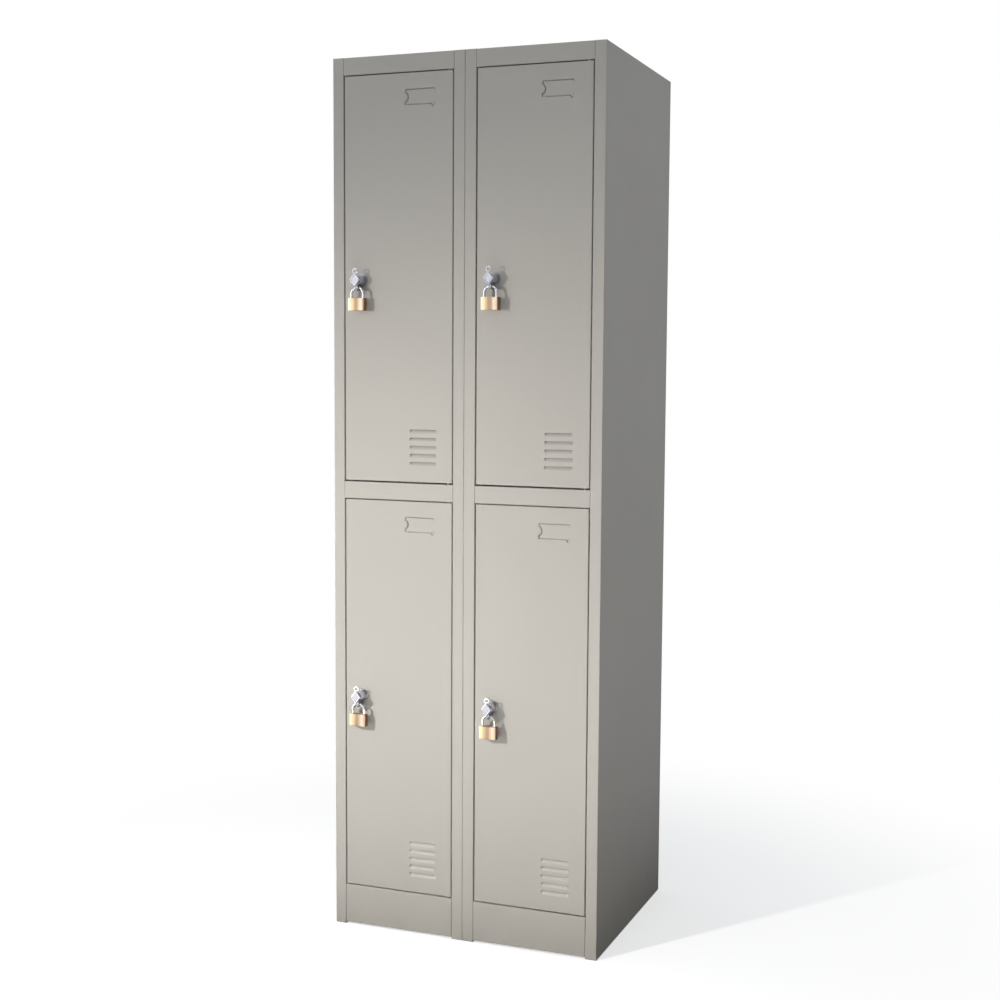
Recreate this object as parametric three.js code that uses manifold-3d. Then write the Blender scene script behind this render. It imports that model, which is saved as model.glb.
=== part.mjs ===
// Two-bay steel locker with four doors, turn-knob hasp locks and brass padlocks.
// Units are millimetres. +X is to the right of someone facing the doors, +Y runs from the doors
// to the back, +Z is up. The origin is the middle of the footprint of the whole object, padlocks
// included, at floor level. Inside a bay or a door, y = 0 is the plane of the door fronts.

import * as THREE from 'three';
import { mergeVertices } from 'three/addons/utils/BufferGeometryUtils.js';
import Module from 'manifold-3d';

const wasm = await Module();
wasm.setup();

// ---- Driving dimensions ----
const CABINET_WIDTH = 600;
const CABINET_DEPTH = 460;
const CABINET_HEIGHT = 1850;
const SHEET = 0.8;              // carcass sheet
const DOOR_SHEET = 1.0;         // door sheet
const CLEAR = 0.3;              // gap between pieces that touch on the real cabinet
const STILE = 24.5;             // width of a stile's front face
const STILE_DEPTH = 18.3;       // how far a stile's return lip runs back
const STOP_WIDTH = 9;           // lip behind the door on the lock side
const STOP_DROP = 8;            // lip behind the door's upper edge
const HINGE_LIP = 12;           // lip of the hinge stile, turned away from the door
const HINGE_LIP_INSET = 1.5;    // how far that lip stands in front of the stop lip
const HINGE_ROOM = 16;          // space left free beside a pivot for the turning door edge
const FLANGE = 16;              // rear and foot flanges of a side panel
const FOOT_INSET = 30;          // foot flange's distance from the front and the back
const RAIL = 36;                // height of the top and middle rails
const RAIL_DEPTH = 17.8;
const PLINTH = 88;              // floor level of the lower compartments
const PLINTH_LIFT = 4;          // kick plate's lower edge above the ground
const HEM = 12;                 // turned edges of shelves and floors
const HEM_START = 24;           // side hems begin this far behind the front
const HEM_NOTCH = 18;           // rear hem's distance from the side walls
const KICK_DEPTH = 14;          // kick plate's top and side returns
const KICK_FOOT = 10;           // its bottom return
const DOOR_GAP = 2;
const DOOR_HEIGHT = 841;
const DOOR_DEPTH = 16;
const DOOR_HEM = 12;
const PIVOT_INSET = 10;         // pivot centre from the door's hinge edge
const PIVOT_DEPTH = 5.5;        // pivot centre behind the door front
const PIN_RADIUS = 2.5;
const LOCK_INSET = 39.5;        // lock centre from the door's free edge
const LOCK_REACH = 34;          // knob face in front of the door
const LOCK_FLANGE = 13;         // radius of the housing's flange
const BARREL_RADIUS = 9;
const HUB_RADIUS = 9.8;
const SPINDLE_RADIUS = 4;
const SPINDLE_END = 19;         // behind the door front
const LUG_HEIGHT = 17.8;        // hole of a knob lug above the lock centre
const COAT_RAIL_RADIUS = 8;
const COAT_RAIL_WALL = 1.2;
const COAT_RAIL_DROP = 62;      // rail centre below the compartment's ceiling
const WIRE_RADIUS = 2.75;       // padlock shackle
const SHACKLE_RADIUS = 13.5;    // bend of the shackle, to the wire's centre
const SHACKLE_Y = -19.5;        // plane of the hanging padlock
const SHACKLE_TOP = -15.8;      // wire centre at the top of the bend, below the lock centre
const PADLOCK = { width: 39.5, depth: 13, height: 26, corner: 3.5, top: -37.5 };
const ROUND = 16;               // sides of a round part
const SMALL_ROUND = 10;         // sides of a pin or a small hole
const WIRE_SIDES = 8;
const GRID = 1 / 512;           // spacing of the grid that vertices lie on

// ---- Derived dimensions ----
const BAY_WIDTH = (CABINET_WIDTH - CLEAR) / 2;
const FRONT_Y = -(CABINET_DEPTH - LOCK_REACH) / 2;
const DOOR_X = STILE + DOOR_GAP;
const DOOR_WIDTH = BAY_WIDTH - 2 * DOOR_X;
const LOWER_DOOR_Z = PLINTH + DOOR_GAP;
const SHELF_TOP = LOWER_DOOR_Z + DOOR_HEIGHT + DOOR_GAP + RAIL;
const UPPER_DOOR_Z = SHELF_TOP + DOOR_GAP;
const PIVOT_X = DOOR_X + DOOR_WIDTH - PIVOT_INSET;
const INNER_LEFT = SHEET + CLEAR;
const INNER_RIGHT = BAY_WIDTH - SHEET - CLEAR;
const RAIL_LEFT = STILE + CLEAR;
const RAIL_RIGHT = BAY_WIDTH - STILE - CLEAR;
const STOP_START = STILE + STOP_WIDTH + CLEAR;
const STOP_END = PIVOT_X - HINGE_ROOM;
const BACK_FACE = CABINET_DEPTH - SHEET - CLEAR;
const HOLE_RADIUS = PIN_RADIUS + 0.4;
const BOLT = { shank: 3.1, hole: 3.6, head: 5.8, headHeight: 4, nutHeight: 5, tail: 7 };
const BOLT_SPOTS = [{ name: 'upper', y: 70, z: 1560 }, { name: 'lower', y: 70, z: 420 }];

// ---- Materials ----
const finish = (color, roughness, metalness) =>
  new THREE.MeshStandardMaterial({ color, roughness, metalness });
const GREY_PAINT = () => finish('#b4b1a8', 0.5, 0);
const CHROME = () => finish('#d6d6d8', 0.15, 1);
const BRASS = () => finish('#c9a468', 0.35, 1);
const ZINC = () => finish('#a9abab', 0.4, 1);

// ---- Solid helpers ----

// A box from its lowest to its highest corner.
function box(x0, x1, y0, y1, z0, z1) {
  const geometry = new THREE.BoxGeometry(x1 - x0, y1 - y0, z1 - z0);
  return geometry.translate((x0 + x1) / 2, (y0 + y1) / 2, (z0 + z1) / 2);
}

// Round bars along each axis, given their centre line and their two ends.
function barX(radius, y, z, x0, x1, sides = ROUND) {
  const geometry = new THREE.CylinderGeometry(radius, radius, x1 - x0, sides).rotateZ(Math.PI / 2);
  return geometry.translate((x0 + x1) / 2, y, z);
}
function barY(radius, x, z, y0, y1, sides = ROUND) {
  return new THREE.CylinderGeometry(radius, radius, y1 - y0, sides).translate(x, (y0 + y1) / 2, z);
}
function barZ(radius, x, y, z0, z1, sides = ROUND) {
  const geometry = new THREE.CylinderGeometry(radius, radius, z1 - z0, sides).rotateX(Math.PI / 2);
  return geometry.translate(x, y, (z0 + z1) / 2);
}

// An outline in x and z, carried from y0 to y1.
function plateY(shape, y0, y1) {
  const geometry = new THREE.ExtrudeGeometry(shape, {
    depth: y1 - y0, bevelEnabled: false, curveSegments: 5,
  });
  return geometry.rotateX(Math.PI / 2).translate(0, y1, 0);
}

// An outline in y and z, carried from x0 to x1.
function plateX(points, x0, x1) {
  const shape = new THREE.Shape(points.map(([y, z]) => new THREE.Vector2(y, z)));
  const geometry = new THREE.ExtrudeGeometry(shape, { depth: x1 - x0, bevelEnabled: false });
  geometry.applyMatrix4(new THREE.Matrix4().set(0, 0, 1, x0, 1, 0, 0, 0, 0, 1, 0, 0, 0, 0, 0, 1));
  return geometry;
}

// A closed mesh as a solid. Its vertices move to the nearest point of a fine grid, so that faces
// that should lie in one plane lie in it exactly.
function toManifold(geometry) {
  const bare = geometry.clone();
  bare.deleteAttribute('normal');
  bare.deleteAttribute('uv');
  const position = bare.attributes.position;
  position.array.forEach((value, i) => {
    position.array[i] = Math.round(value / GRID) * GRID;
  });
  const merged = mergeVertices(bare, GRID / 2);
  const mesh = new wasm.Mesh({
    numProp: 3,
    vertProperties: new Float32Array(merged.attributes.position.array),
    triVerts: new Uint32Array(merged.index.array),
  });
  return new wasm.Manifold(mesh);
}

function toGeometry(manifold) {
  const mesh = manifold.getMesh();
  const geometry = new THREE.BufferGeometry();
  geometry.setAttribute('position', new THREE.BufferAttribute(mesh.vertProperties, 3));
  geometry.setIndex(new THREE.BufferAttribute(mesh.triVerts, 1));
  geometry.computeVertexNormals();
  return geometry;
}

// One solid from the pieces that are joined, less the pieces that are cut away.
function shaped(joined, cutAway = []) {
  let solid = toManifold(joined[0]);
  for (const piece of joined.slice(1)) solid = solid.add(toManifold(piece));
  for (const piece of cutAway) solid = solid.subtract(toManifold(piece));
  return toGeometry(solid.asOriginal().simplify(GRID));
}

// The stretch of one piece that lies inside another.
const cutTo = (geometry, keep) => toGeometry(toManifold(geometry).intersect(toManifold(keep)));

function part(name, geometry, material) {
  const mesh = new THREE.Mesh(geometry, material);
  mesh.name = name;
  return mesh;
}

// ---- Carcass ----

const boltHoles = (x0, x1) => BOLT_SPOTS.map(({ y, z }) => barX(BOLT.hole, y, z, x0, x1, SMALL_ROUND));

// Side on the lock side of a bay: wall, front stile with a return and a door stop, rear flange
// and a foot flange that stands on the ground.
function lockSidePanel(bolted) {
  const top = CABINET_HEIGHT - SHEET - CLEAR;
  const stopY = STILE_DEPTH - SHEET;
  return shaped([
    box(0, SHEET, 0, BACK_FACE, 0, CABINET_HEIGHT),
    box(0, STILE, 0, SHEET, 0, CABINET_HEIGHT),
    box(STILE - SHEET, STILE, 0, STILE_DEPTH, 0, top),
    box(STILE - SHEET, STILE + STOP_WIDTH, stopY, STILE_DEPTH, PLINTH + CLEAR, top),
    box(0, FLANGE, BACK_FACE - SHEET, BACK_FACE, 0, top),
    box(0, FLANGE, FOOT_INSET, CABINET_DEPTH - FOOT_INSET, 0, SHEET),
  ], bolted ? boltHoles(-5, 5) : []);
}

// Side on the hinge side of a bay: the stile's return ends in a lip that turns away from the door.
function hingeSidePanel(bolted) {
  const top = CABINET_HEIGHT - SHEET - CLEAR;
  const wall = BAY_WIDTH - SHEET;
  const lipY = STILE_DEPTH - HINGE_LIP_INSET;
  return shaped([
    box(wall, BAY_WIDTH, 0, BACK_FACE, 0, CABINET_HEIGHT),
    box(BAY_WIDTH - STILE, BAY_WIDTH, 0, SHEET, 0, CABINET_HEIGHT),
    box(BAY_WIDTH - STILE, BAY_WIDTH - STILE + SHEET, 0, lipY, 0, top),
    box(BAY_WIDTH - STILE, BAY_WIDTH - STILE + HINGE_LIP, lipY - SHEET, lipY, 0, top),
    box(BAY_WIDTH - FLANGE, BAY_WIDTH, BACK_FACE - SHEET, BACK_FACE, 0, top),
    box(BAY_WIDTH - FLANGE, BAY_WIDTH, FOOT_INSET, CABINET_DEPTH - FOOT_INSET, 0, SHEET),
  ], bolted ? boltHoles(wall - 4, BAY_WIDTH + 4) : []);
}

function backPanel() {
  return shaped([box(0, BAY_WIDTH, CABINET_DEPTH - SHEET, CABINET_DEPTH, 0, CABINET_HEIGHT)]);
}

// Rail face with a return that runs back over the door and a stop lip that hangs behind it.
function railPieces(bottom, top) {
  return [
    box(RAIL_LEFT, RAIL_RIGHT, 0, SHEET, bottom, top),
    box(RAIL_LEFT, STOP_START + 1, 0, STILE_DEPTH - SHEET - CLEAR, bottom, bottom + SHEET),
    box(STOP_START, RAIL_RIGHT, 0, RAIL_DEPTH, bottom, bottom + SHEET),
    box(STOP_START, STOP_END, RAIL_DEPTH - SHEET, RAIL_DEPTH, bottom - STOP_DROP, bottom + SHEET),
  ];
}

// Turned-down edges at the sides and the rear of a horizontal sheet whose top is at the height top.
function hems(top, rear) {
  return [
    box(INNER_LEFT, INNER_LEFT + SHEET, HEM_START, rear, top - HEM, top),
    box(INNER_RIGHT - SHEET, INNER_RIGHT, HEM_START, rear, top - HEM, top),
    box(INNER_LEFT + HEM_NOTCH, INNER_RIGHT - HEM_NOTCH, rear - SHEET, rear, top - HEM, top),
  ];
}

const pinHole = (z0, z1) => barZ(HOLE_RADIUS, PIVOT_X, PIVOT_DEPTH, z0, z1, SMALL_ROUND);

// Roof of a bay, folded down at the front into the top rail.
function topPanel() {
  const top = CABINET_HEIGHT;
  const rail = top - RAIL;
  return shaped([
    ...railPieces(rail, top),
    box(RAIL_LEFT, RAIL_RIGHT, 0, 4, top - SHEET, top),
    box(INNER_LEFT, INNER_RIGHT, SHEET + CLEAR, BACK_FACE, top - SHEET, top),
    ...hems(top, BACK_FACE - SHEET - CLEAR),
  ], [pinHole(rail - 3, rail + 3)]);
}

// Shelf between the two compartments, folded down at the front into the middle rail.
function midShelf() {
  const rail = SHELF_TOP - RAIL;
  const rear = BACK_FACE - SHEET - CLEAR;
  return shaped([
    ...railPieces(rail, SHELF_TOP),
    box(STOP_START, RAIL_RIGHT, 0, HEM_START, SHELF_TOP - SHEET, SHELF_TOP),
    box(INNER_LEFT, INNER_RIGHT, STILE_DEPTH + CLEAR, rear, SHELF_TOP - SHEET, SHELF_TOP),
    ...hems(SHELF_TOP, rear),
  ], [pinHole(rail - 3, rail + 3), pinHole(SHELF_TOP - 3, SHELF_TOP + 3)]);
}

// Floor of the lower compartment. It starts behind the kick plate's top return.
function floorPanel() {
  const rear = BACK_FACE - SHEET - CLEAR;
  const front = KICK_DEPTH + CLEAR;
  return shaped([
    box(RAIL_LEFT, RAIL_RIGHT, front, HEM_START, PLINTH - SHEET, PLINTH),
    box(RAIL_LEFT, RAIL_RIGHT, front, front + SHEET, PLINTH - HEM, PLINTH),
    box(INNER_LEFT, INNER_RIGHT, STILE_DEPTH + CLEAR, rear, PLINTH - SHEET, PLINTH),
    ...hems(PLINTH, rear),
  ]);
}

function kickPlate() {
  return shaped([
    box(RAIL_LEFT, RAIL_RIGHT, 0, SHEET, PLINTH_LIFT, PLINTH),
    box(RAIL_LEFT, RAIL_RIGHT, 0, KICK_DEPTH, PLINTH - SHEET, PLINTH),
    box(RAIL_LEFT, RAIL_RIGHT, 0, KICK_FOOT, PLINTH_LIFT, PLINTH_LIFT + SHEET),
    box(RAIL_LEFT, RAIL_LEFT + SHEET, 0, KICK_DEPTH, PLINTH_LIFT, PLINTH),
    box(RAIL_RIGHT - SHEET, RAIL_RIGHT, 0, KICK_DEPTH, PLINTH_LIFT, PLINTH),
  ], [pinHole(PLINTH - 3, PLINTH + 3)]);
}

// Tube that clothes hangers hang on, from wall to wall.
function coatRail(ceiling) {
  const z = ceiling - COAT_RAIL_DROP;
  const y = CABINET_DEPTH / 2;
  return shaped(
    [barX(COAT_RAIL_RADIUS, y, z, INNER_LEFT, INNER_RIGHT)],
    [barX(COAT_RAIL_RADIUS - COAT_RAIL_WALL, y, z, INNER_LEFT - 1, INNER_RIGHT + 1)],
  );
}

// Bolt through the two inner walls, with its head in the left bay and its nut in the right bay.
function bayBolt({ y, z }) {
  const wall = SHEET + 1.5 * CLEAR;
  return shaped([
    barX(BOLT.shank, y, z, -wall - 1, wall + BOLT.tail, SMALL_ROUND),
    barX(BOLT.head, y, z, -wall - BOLT.headHeight, -wall, 6),
    barX(BOLT.head, y, z, wall, wall + BOLT.nutHeight, 6),
  ]);
}

// ---- Door ----

// Places on the door, from its lower left corner.
const LOUVRE = { count: 5, first: 43.2, pitch: 16.9, height: 9, depth: 4.5, left: 150.5, right: 211 };
const LABEL = { left: 140, right: 207, bottom: 776, top: 807.5 };
const LOCK_Z = DOOR_HEIGHT / 2;
const STIFFENER = { left: 92, right: 142, bottom: 125, top: 770, crown: 12, foot: 12 };

// A vent pressed inwards: its sloping lip and the two cheeks that close its ends.
function louvreLip(slit) {
  const { left, right, height, depth } = LOUVRE;
  const t = DOOR_SHEET;
  const foot = slit - height;
  const lip = [[0, foot], [0, foot - t], [t, foot - t], [depth + t, slit - t], [depth, slit - 0.5]];
  const back = depth + 2;
  const cheek = [[0.5, foot - 2], [back, slit - 2], [back, slit + t], [0.5, slit + t]];
  return [plateX(lip, left, right), plateX(cheek, left - t, left), plateX(cheek, right, right + t)];
}

function doorPanel() {
  const w = DOOR_WIDTH;
  const h = DOOR_HEIGHT;
  const t = DOOR_SHEET;
  const d = DOOR_DEPTH;
  const slits = Array.from({ length: LOUVRE.count }, (_, i) => LOUVRE.first + i * LOUVRE.pitch);
  const skin = shaped([box(0, w, 0, t, 0, h)], [
    ...slits.map((z) => box(LOUVRE.left, LOUVRE.right, -1, t + 1, z - LOUVRE.height, z)),
    barY(BARREL_RADIUS + 0.4, LOCK_INSET, LOCK_Z, -2, 4),
    box(LABEL.left, LABEL.right, -1, 0.5, LABEL.top, LABEL.top + 2),
    box(LABEL.left, LABEL.right, -1, 0.5, LABEL.bottom, LABEL.bottom + 1.6),
    box(LABEL.left + 4, LABEL.left + 7, -1, 0.5, LABEL.bottom + 8, LABEL.top - 6),
  ]);
  return shaped([
    skin,
    box(0, t, 0, d, 0, h),
    box(w - t, w, 0, d, 0, h),
    box(0, w, 0, d, 0, t),
    box(0, w, 0, d, h - t, h),
    box(0, DOOR_HEM, d - t, d, 0, h),
    box(w - DOOR_HEM, w, d - t, d, 0, h),
    box(0, w, d - t, d, 0, DOOR_HEM),
    box(0, w, d - t, d, h - DOOR_HEM, h),
    ...slits.flatMap(louvreLip),
  ], [
    barZ(HOLE_RADIUS, w - PIVOT_INSET, PIVOT_DEPTH, -2, t + 1, SMALL_ROUND),
    barZ(HOLE_RADIUS, w - PIVOT_INSET, PIVOT_DEPTH, h - t - 1, h + 2, SMALL_ROUND),
  ]);
}

// Hat-section channel that stiffens the door from behind.
function doorStiffener() {
  const skin = DOOR_SHEET + CLEAR;
  const { left: x0, right: x1, bottom: z0, top: z1, crown, foot } = STIFFENER;
  return shaped([
    box(x0, x0 + foot + SHEET, skin, skin + SHEET, z0, z1),
    box(x0 + foot, x0 + foot + SHEET, skin, crown, z0, z1),
    box(x0 + foot, x1 - foot, crown - SHEET, crown, z0, z1),
    box(x1 - foot - SHEET, x1 - foot, skin, crown, z0, z1),
    box(x1 - foot - SHEET, x1, skin, skin + SHEET, z0, z1),
  ]);
}

// Pin with its head inside the door and its shank in the rail. The pins point up or down.
function pivotPin(up) {
  const flange = DOOR_SHEET + CLEAR;
  const pin = shaped([
    barZ(4.2, 0, 0, -flange - 1.6, -flange, SMALL_ROUND),
    barZ(PIN_RADIUS, 0, 0, -flange - 0.5, DOOR_GAP + SHEET + 5, SMALL_ROUND),
  ]);
  if (!up) pin.rotateX(Math.PI);
  return pin;
}

// ---- Lock. Its parts are placed about the lock's own centre on the door front. ----

// Front view of the eye lug: a narrow tongue with a round lower end.
function eyeOutline() {
  const outline = new THREE.Shape();
  outline.moveTo(-3, -8);
  outline.lineTo(-3, -19.5);
  outline.absarc(0, -19.5, 3, Math.PI, 2 * Math.PI, false);
  outline.lineTo(3, -8);
  return outline;
}

// Base flange, threaded barrel through the door, and the eye that the shackle hangs in.
function lockHousing() {
  const eyeFront = SHACKLE_Y - 5.3;
  return shaped([
    barY(LOCK_FLANGE, 0, 0, -2.6, -CLEAR),
    barY(BARREL_RADIUS, 0, 0, -5.5, 14),
    plateY(eyeOutline(), eyeFront, -2),
  ], [
    barY(SPINDLE_RADIUS + 0.4, 0, 0, -8, 16),
    barX(WIRE_RADIUS + 0.75, SHACKLE_Y, SHACKLE_TOP, -5, 5, SMALL_ROUND),
    barY(HUB_RADIUS + 0.8, 0, 0, eyeFront - 1, -5.5),
  ]);
}

// Diamond with straight sides, half as wide and half as high as given.
function diamond(halfWidth, halfHeight) {
  const outline = new THREE.Shape();
  outline.moveTo(0, -halfHeight);
  outline.lineTo(halfWidth, 0);
  outline.lineTo(0, halfHeight);
  outline.lineTo(-halfWidth, 0);
  return outline;
}

// Level slot with round ends, about the height z.
function slot(halfRun, radius, z) {
  const outline = new THREE.Shape();
  outline.moveTo(-halfRun, z - radius);
  outline.absarc(halfRun, z, radius, -Math.PI / 2, Math.PI / 2, false);
  outline.absarc(-halfRun, z, radius, Math.PI / 2, 1.5 * Math.PI, false);
  return outline;
}

// Knob: diamond face, a lug with a hole above and below it, hub, and the spindle that runs
// through the housing.
function lockKnob() {
  const [front, back] = [-LOCK_REACH, -LOCK_REACH + 4];
  const [lugFront, lugBack] = [back - 0.4, back + 3];
  const lug = (z) => barY(6.3, 0, z, lugFront, lugBack);
  const lugHole = (z) => plateY(slot(1.6, 2.6, z), lugFront - 1, lugBack + 1);
  return shaped([
    plateY(diamond(11.7, 13.7), front, back),
    plateY(diamond(8, 9.5), back - 0.5, -24),
    box(-3.4, 3.4, lugFront, lugBack, -13, 13),
    lug(LUG_HEIGHT),
    lug(-LUG_HEIGHT),
    barY(HUB_RADIUS, 0, 0, -26, -6),
    barY(SPINDLE_RADIUS, 0, 0, -8, SPINDLE_END),
  ], [
    lugHole(LUG_HEIGHT),
    lugHole(-LUG_HEIGHT),
    plateY(diamond(8.9, 10.8), front - 1, front + 0.6),
  ]);
}

// Arm behind the door. It hangs down while the door is free, and turns behind the stile to latch.
function lockCam() {
  const arm = new THREE.Shape();
  arm.moveTo(-7, 0);
  arm.lineTo(-7, -38);
  arm.absarc(0, -38, 7, Math.PI, 2 * Math.PI, false);
  arm.lineTo(7, 0);
  arm.absarc(0, 0, 7, 0, Math.PI, false);
  const front = SPINDLE_END + CLEAR;
  return shaped([
    plateY(arm, front, front + 2),
    barY(4.5, 0, 0, front + 1, front + 4.5, 6),
  ]);
}

// Hexagon nut that clamps the housing to the door from behind.
function lockNut() {
  const front = DOOR_SHEET + CLEAR;
  return shaped([barY(13.5, 0, 0, front, front + 4, 6)], [barY(BARREL_RADIUS + CLEAR, 0, 0, front - 1, front + 5)]);
}

// ---- Padlock, also about the lock's centre ----

// Half a ring over two straight legs. The heel leg reaches deeper into the body than the toe leg.
function padlockShackle() {
  const bendZ = SHACKLE_TOP - SHACKLE_RADIUS;
  const ring = new THREE.TorusGeometry(SHACKLE_RADIUS, WIRE_RADIUS, WIRE_SIDES, 2 * WIRE_SIDES);
  ring.rotateX(Math.PI / 2).translate(0, SHACKLE_Y, bendZ);
  const [front, back] = [SHACKLE_Y - 5, SHACKLE_Y + 5];
  const leg = (x, end) => barZ(WIRE_RADIUS, x, SHACKLE_Y, end, bendZ, WIRE_SIDES);
  return shaped([
    cutTo(ring, box(-30, 30, front, back, bendZ, 0)),
    leg(SHACKLE_RADIUS, PADLOCK.top - 6),
    leg(-SHACKLE_RADIUS, PADLOCK.top - 17),
  ]);
}

function padlockBody() {
  const { width, depth, height, corner, top } = PADLOCK;
  const outline = new THREE.Shape();
  const [hx, hy] = [width / 2, depth / 2];
  outline.moveTo(-hx + corner, -hy);
  outline.absarc(hx - corner, -hy + corner, corner, -Math.PI / 2, 0, false);
  outline.absarc(hx - corner, hy - corner, corner, 0, Math.PI / 2, false);
  outline.absarc(-hx + corner, hy - corner, corner, Math.PI / 2, Math.PI, false);
  outline.absarc(-hx + corner, -hy + corner, corner, Math.PI, 1.5 * Math.PI, false);
  const block = new THREE.ExtrudeGeometry(outline, {
    depth: height, bevelEnabled: false, curveSegments: 3,
  }).translate(0, SHACKLE_Y, top - height);
  const hole = WIRE_RADIUS + 0.45;
  return shaped([block], [
    barZ(hole, SHACKLE_RADIUS, SHACKLE_Y, top - 18, top + 1, SMALL_ROUND),
    barZ(hole, -SHACKLE_RADIUS, SHACKLE_Y, top - 18, top + 1, SMALL_ROUND),
    barZ(4, 0, SHACKLE_Y, top - height - 1, top - height + 1.5, SMALL_ROUND),
  ]);
}

// ---- Assembly ----

function makeDoor(place, x, z) {
  const door = new THREE.Group();
  door.position.set(x, 0, z);
  door.add(part(`door_panel_${place}`, doorPanel(), GREY_PAINT()));
  door.add(part(`door_stiffener_${place}`, doorStiffener(), GREY_PAINT()));
  const pivot = new THREE.Group();
  pivot.position.set(DOOR_WIDTH - PIVOT_INSET, PIVOT_DEPTH, 0);
  const topPin = part(`pivot_pin_top_${place}`, pivotPin(true), ZINC());
  topPin.position.z = DOOR_HEIGHT;
  pivot.add(topPin, part(`pivot_pin_bottom_${place}`, pivotPin(false), ZINC()));
  const lock = new THREE.Group();
  lock.position.set(LOCK_INSET, 0, LOCK_Z);
  lock.add(
    part(`lock_housing_${place}`, lockHousing(), CHROME()),
    part(`lock_knob_${place}`, lockKnob(), CHROME()),
    part(`lock_cam_${place}`, lockCam(), ZINC()),
    part(`lock_nut_${place}`, lockNut(), ZINC()),
    part(`padlock_shackle_${place}`, padlockShackle(), CHROME()),
    part(`padlock_body_${place}`, padlockBody(), BRASS()),
  );
  door.add(pivot, lock);
  return door;
}

function makeBay(side, x, lockWallBolted, hingeWallBolted) {
  const bay = new THREE.Group();
  bay.position.set(x, 0, 0);
  const lockWall = side === 'left' ? 'outer' : 'inner';
  const hingeWall = side === 'left' ? 'inner' : 'outer';
  const add = (name, geometry) => bay.add(part(name, geometry, GREY_PAINT()));
  add(`${side}_bay_${lockWall}_side_panel`, lockSidePanel(lockWallBolted));
  add(`${side}_bay_${hingeWall}_side_panel`, hingeSidePanel(hingeWallBolted));
  add(`${side}_bay_back_panel`, backPanel());
  add(`${side}_bay_top_panel`, topPanel());
  add(`${side}_bay_mid_shelf`, midShelf());
  add(`${side}_bay_floor_panel`, floorPanel());
  add(`${side}_bay_kick_plate`, kickPlate());
  bay.add(part(`coat_rail_upper_${side}`, coatRail(CABINET_HEIGHT), ZINC()));
  bay.add(part(`coat_rail_lower_${side}`, coatRail(SHELF_TOP), ZINC()));
  bay.add(makeDoor(`upper_${side}`, DOOR_X, UPPER_DOOR_Z));
  bay.add(makeDoor(`lower_${side}`, DOOR_X, LOWER_DOOR_Z));
  return bay;
}

const locker = new THREE.Group();
locker.position.y = FRONT_Y;
locker.add(makeBay('left', -CABINET_WIDTH / 2, false, true));
locker.add(makeBay('right', CLEAR / 2, true, false));
for (const spot of BOLT_SPOTS) locker.add(part(`bay_bolt_${spot.name}`, bayBolt(spot), ZINC()));
locker.updateMatrixWorld(true);

export default locker;
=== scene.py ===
# %% [markdown]
# # A steel locker in four doors
#
# The real cabinet is two tall bays of thin folded steel, bolted side by side, with two doors
# in each bay. Every door has a turn-knob lock with a small brass padlock hanging from it.
# Powder-coated sheet looks flat and dull until light meets its folds, so this lesson spends
# its effort on folds, pressings and hardware, and keeps the flat faces plain.
#
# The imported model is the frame: it says where every piece sits. New pieces take their places
# from its boxes, and ride on its bodies, so that they open and turn with them.

# %% Load the frame
import math
import bmesh
import bpy
import numpy as np
from mathutils import Matrix, Vector


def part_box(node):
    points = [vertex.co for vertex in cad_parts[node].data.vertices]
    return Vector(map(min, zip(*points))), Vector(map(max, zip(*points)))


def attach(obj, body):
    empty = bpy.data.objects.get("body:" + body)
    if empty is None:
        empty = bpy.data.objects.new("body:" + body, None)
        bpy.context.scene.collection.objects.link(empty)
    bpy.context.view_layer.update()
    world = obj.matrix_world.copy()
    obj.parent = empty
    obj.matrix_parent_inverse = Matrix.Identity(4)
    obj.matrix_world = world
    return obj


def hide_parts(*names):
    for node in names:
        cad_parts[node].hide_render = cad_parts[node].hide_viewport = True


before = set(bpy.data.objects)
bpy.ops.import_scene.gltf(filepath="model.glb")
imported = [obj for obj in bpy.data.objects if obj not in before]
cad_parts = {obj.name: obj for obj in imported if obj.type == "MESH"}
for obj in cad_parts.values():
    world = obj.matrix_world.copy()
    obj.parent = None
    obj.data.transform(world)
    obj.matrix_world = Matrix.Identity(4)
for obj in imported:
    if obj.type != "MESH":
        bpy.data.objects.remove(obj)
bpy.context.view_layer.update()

MM = 0.001
TAU = 2 * math.pi
X, Y, Z = 0, 1, 2
SIDES = ["left", "right"]
PLACES = [f"{row}_{side}" for row in ("upper", "lower") for side in SIDES]


def box_mm(node):
    """Lowest and highest corner of a node of the frame, in millimetres."""
    low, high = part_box(node)
    return np.array(low) / MM, np.array(high) / MM


# %% [markdown]
# ## Sizes that the frame gives
#
# Sheet thickness, stile width and floor level all follow from the boxes of a few nodes.
# Reading them keeps the fine pieces in step with the structure. Only the small bend radii
# and the depths of the returns are typed in, because a box can't show them.

# %% Driving sizes, in millimetres
back_low, back_high = box_mm("left_bay_back_panel")
hinge_low, hinge_high = box_mm("left_bay_inner_side_panel")
door_low, door_high = box_mm("door_panel_upper_left")
SHEET = back_high[Y] - back_low[Y]
STILE = hinge_high[X] - hinge_low[X]
DOOR_WIDTH = door_high[X] - door_low[X]
DOOR_HEIGHT = door_high[Z] - door_low[Z]
DOOR_DEPTH = 16.0
DOOR_SHEET = 1.0
HEIGHT = back_high[Z]
FRONT = door_low[Y]
CLEAR = 0.3
FOLD = 1.1
STILE_DEPTH = 18.3
HEM = 12.0
HALF = SHEET / 2
print(f"sheet {SHEET:.2f}, stile {STILE:.1f}, door {DOOR_WIDTH:.1f} x {DOOR_HEIGHT:.1f} mm")

# %% [markdown]
# ## The camera
#
# The camera stands to the right of the cabinet at about chest height, three metres off, and
# looks a little down and to the left. Its place and its three turns come from matching the
# corners of the cabinet. A small shift puts the cabinet where the framing wants it.

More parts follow.
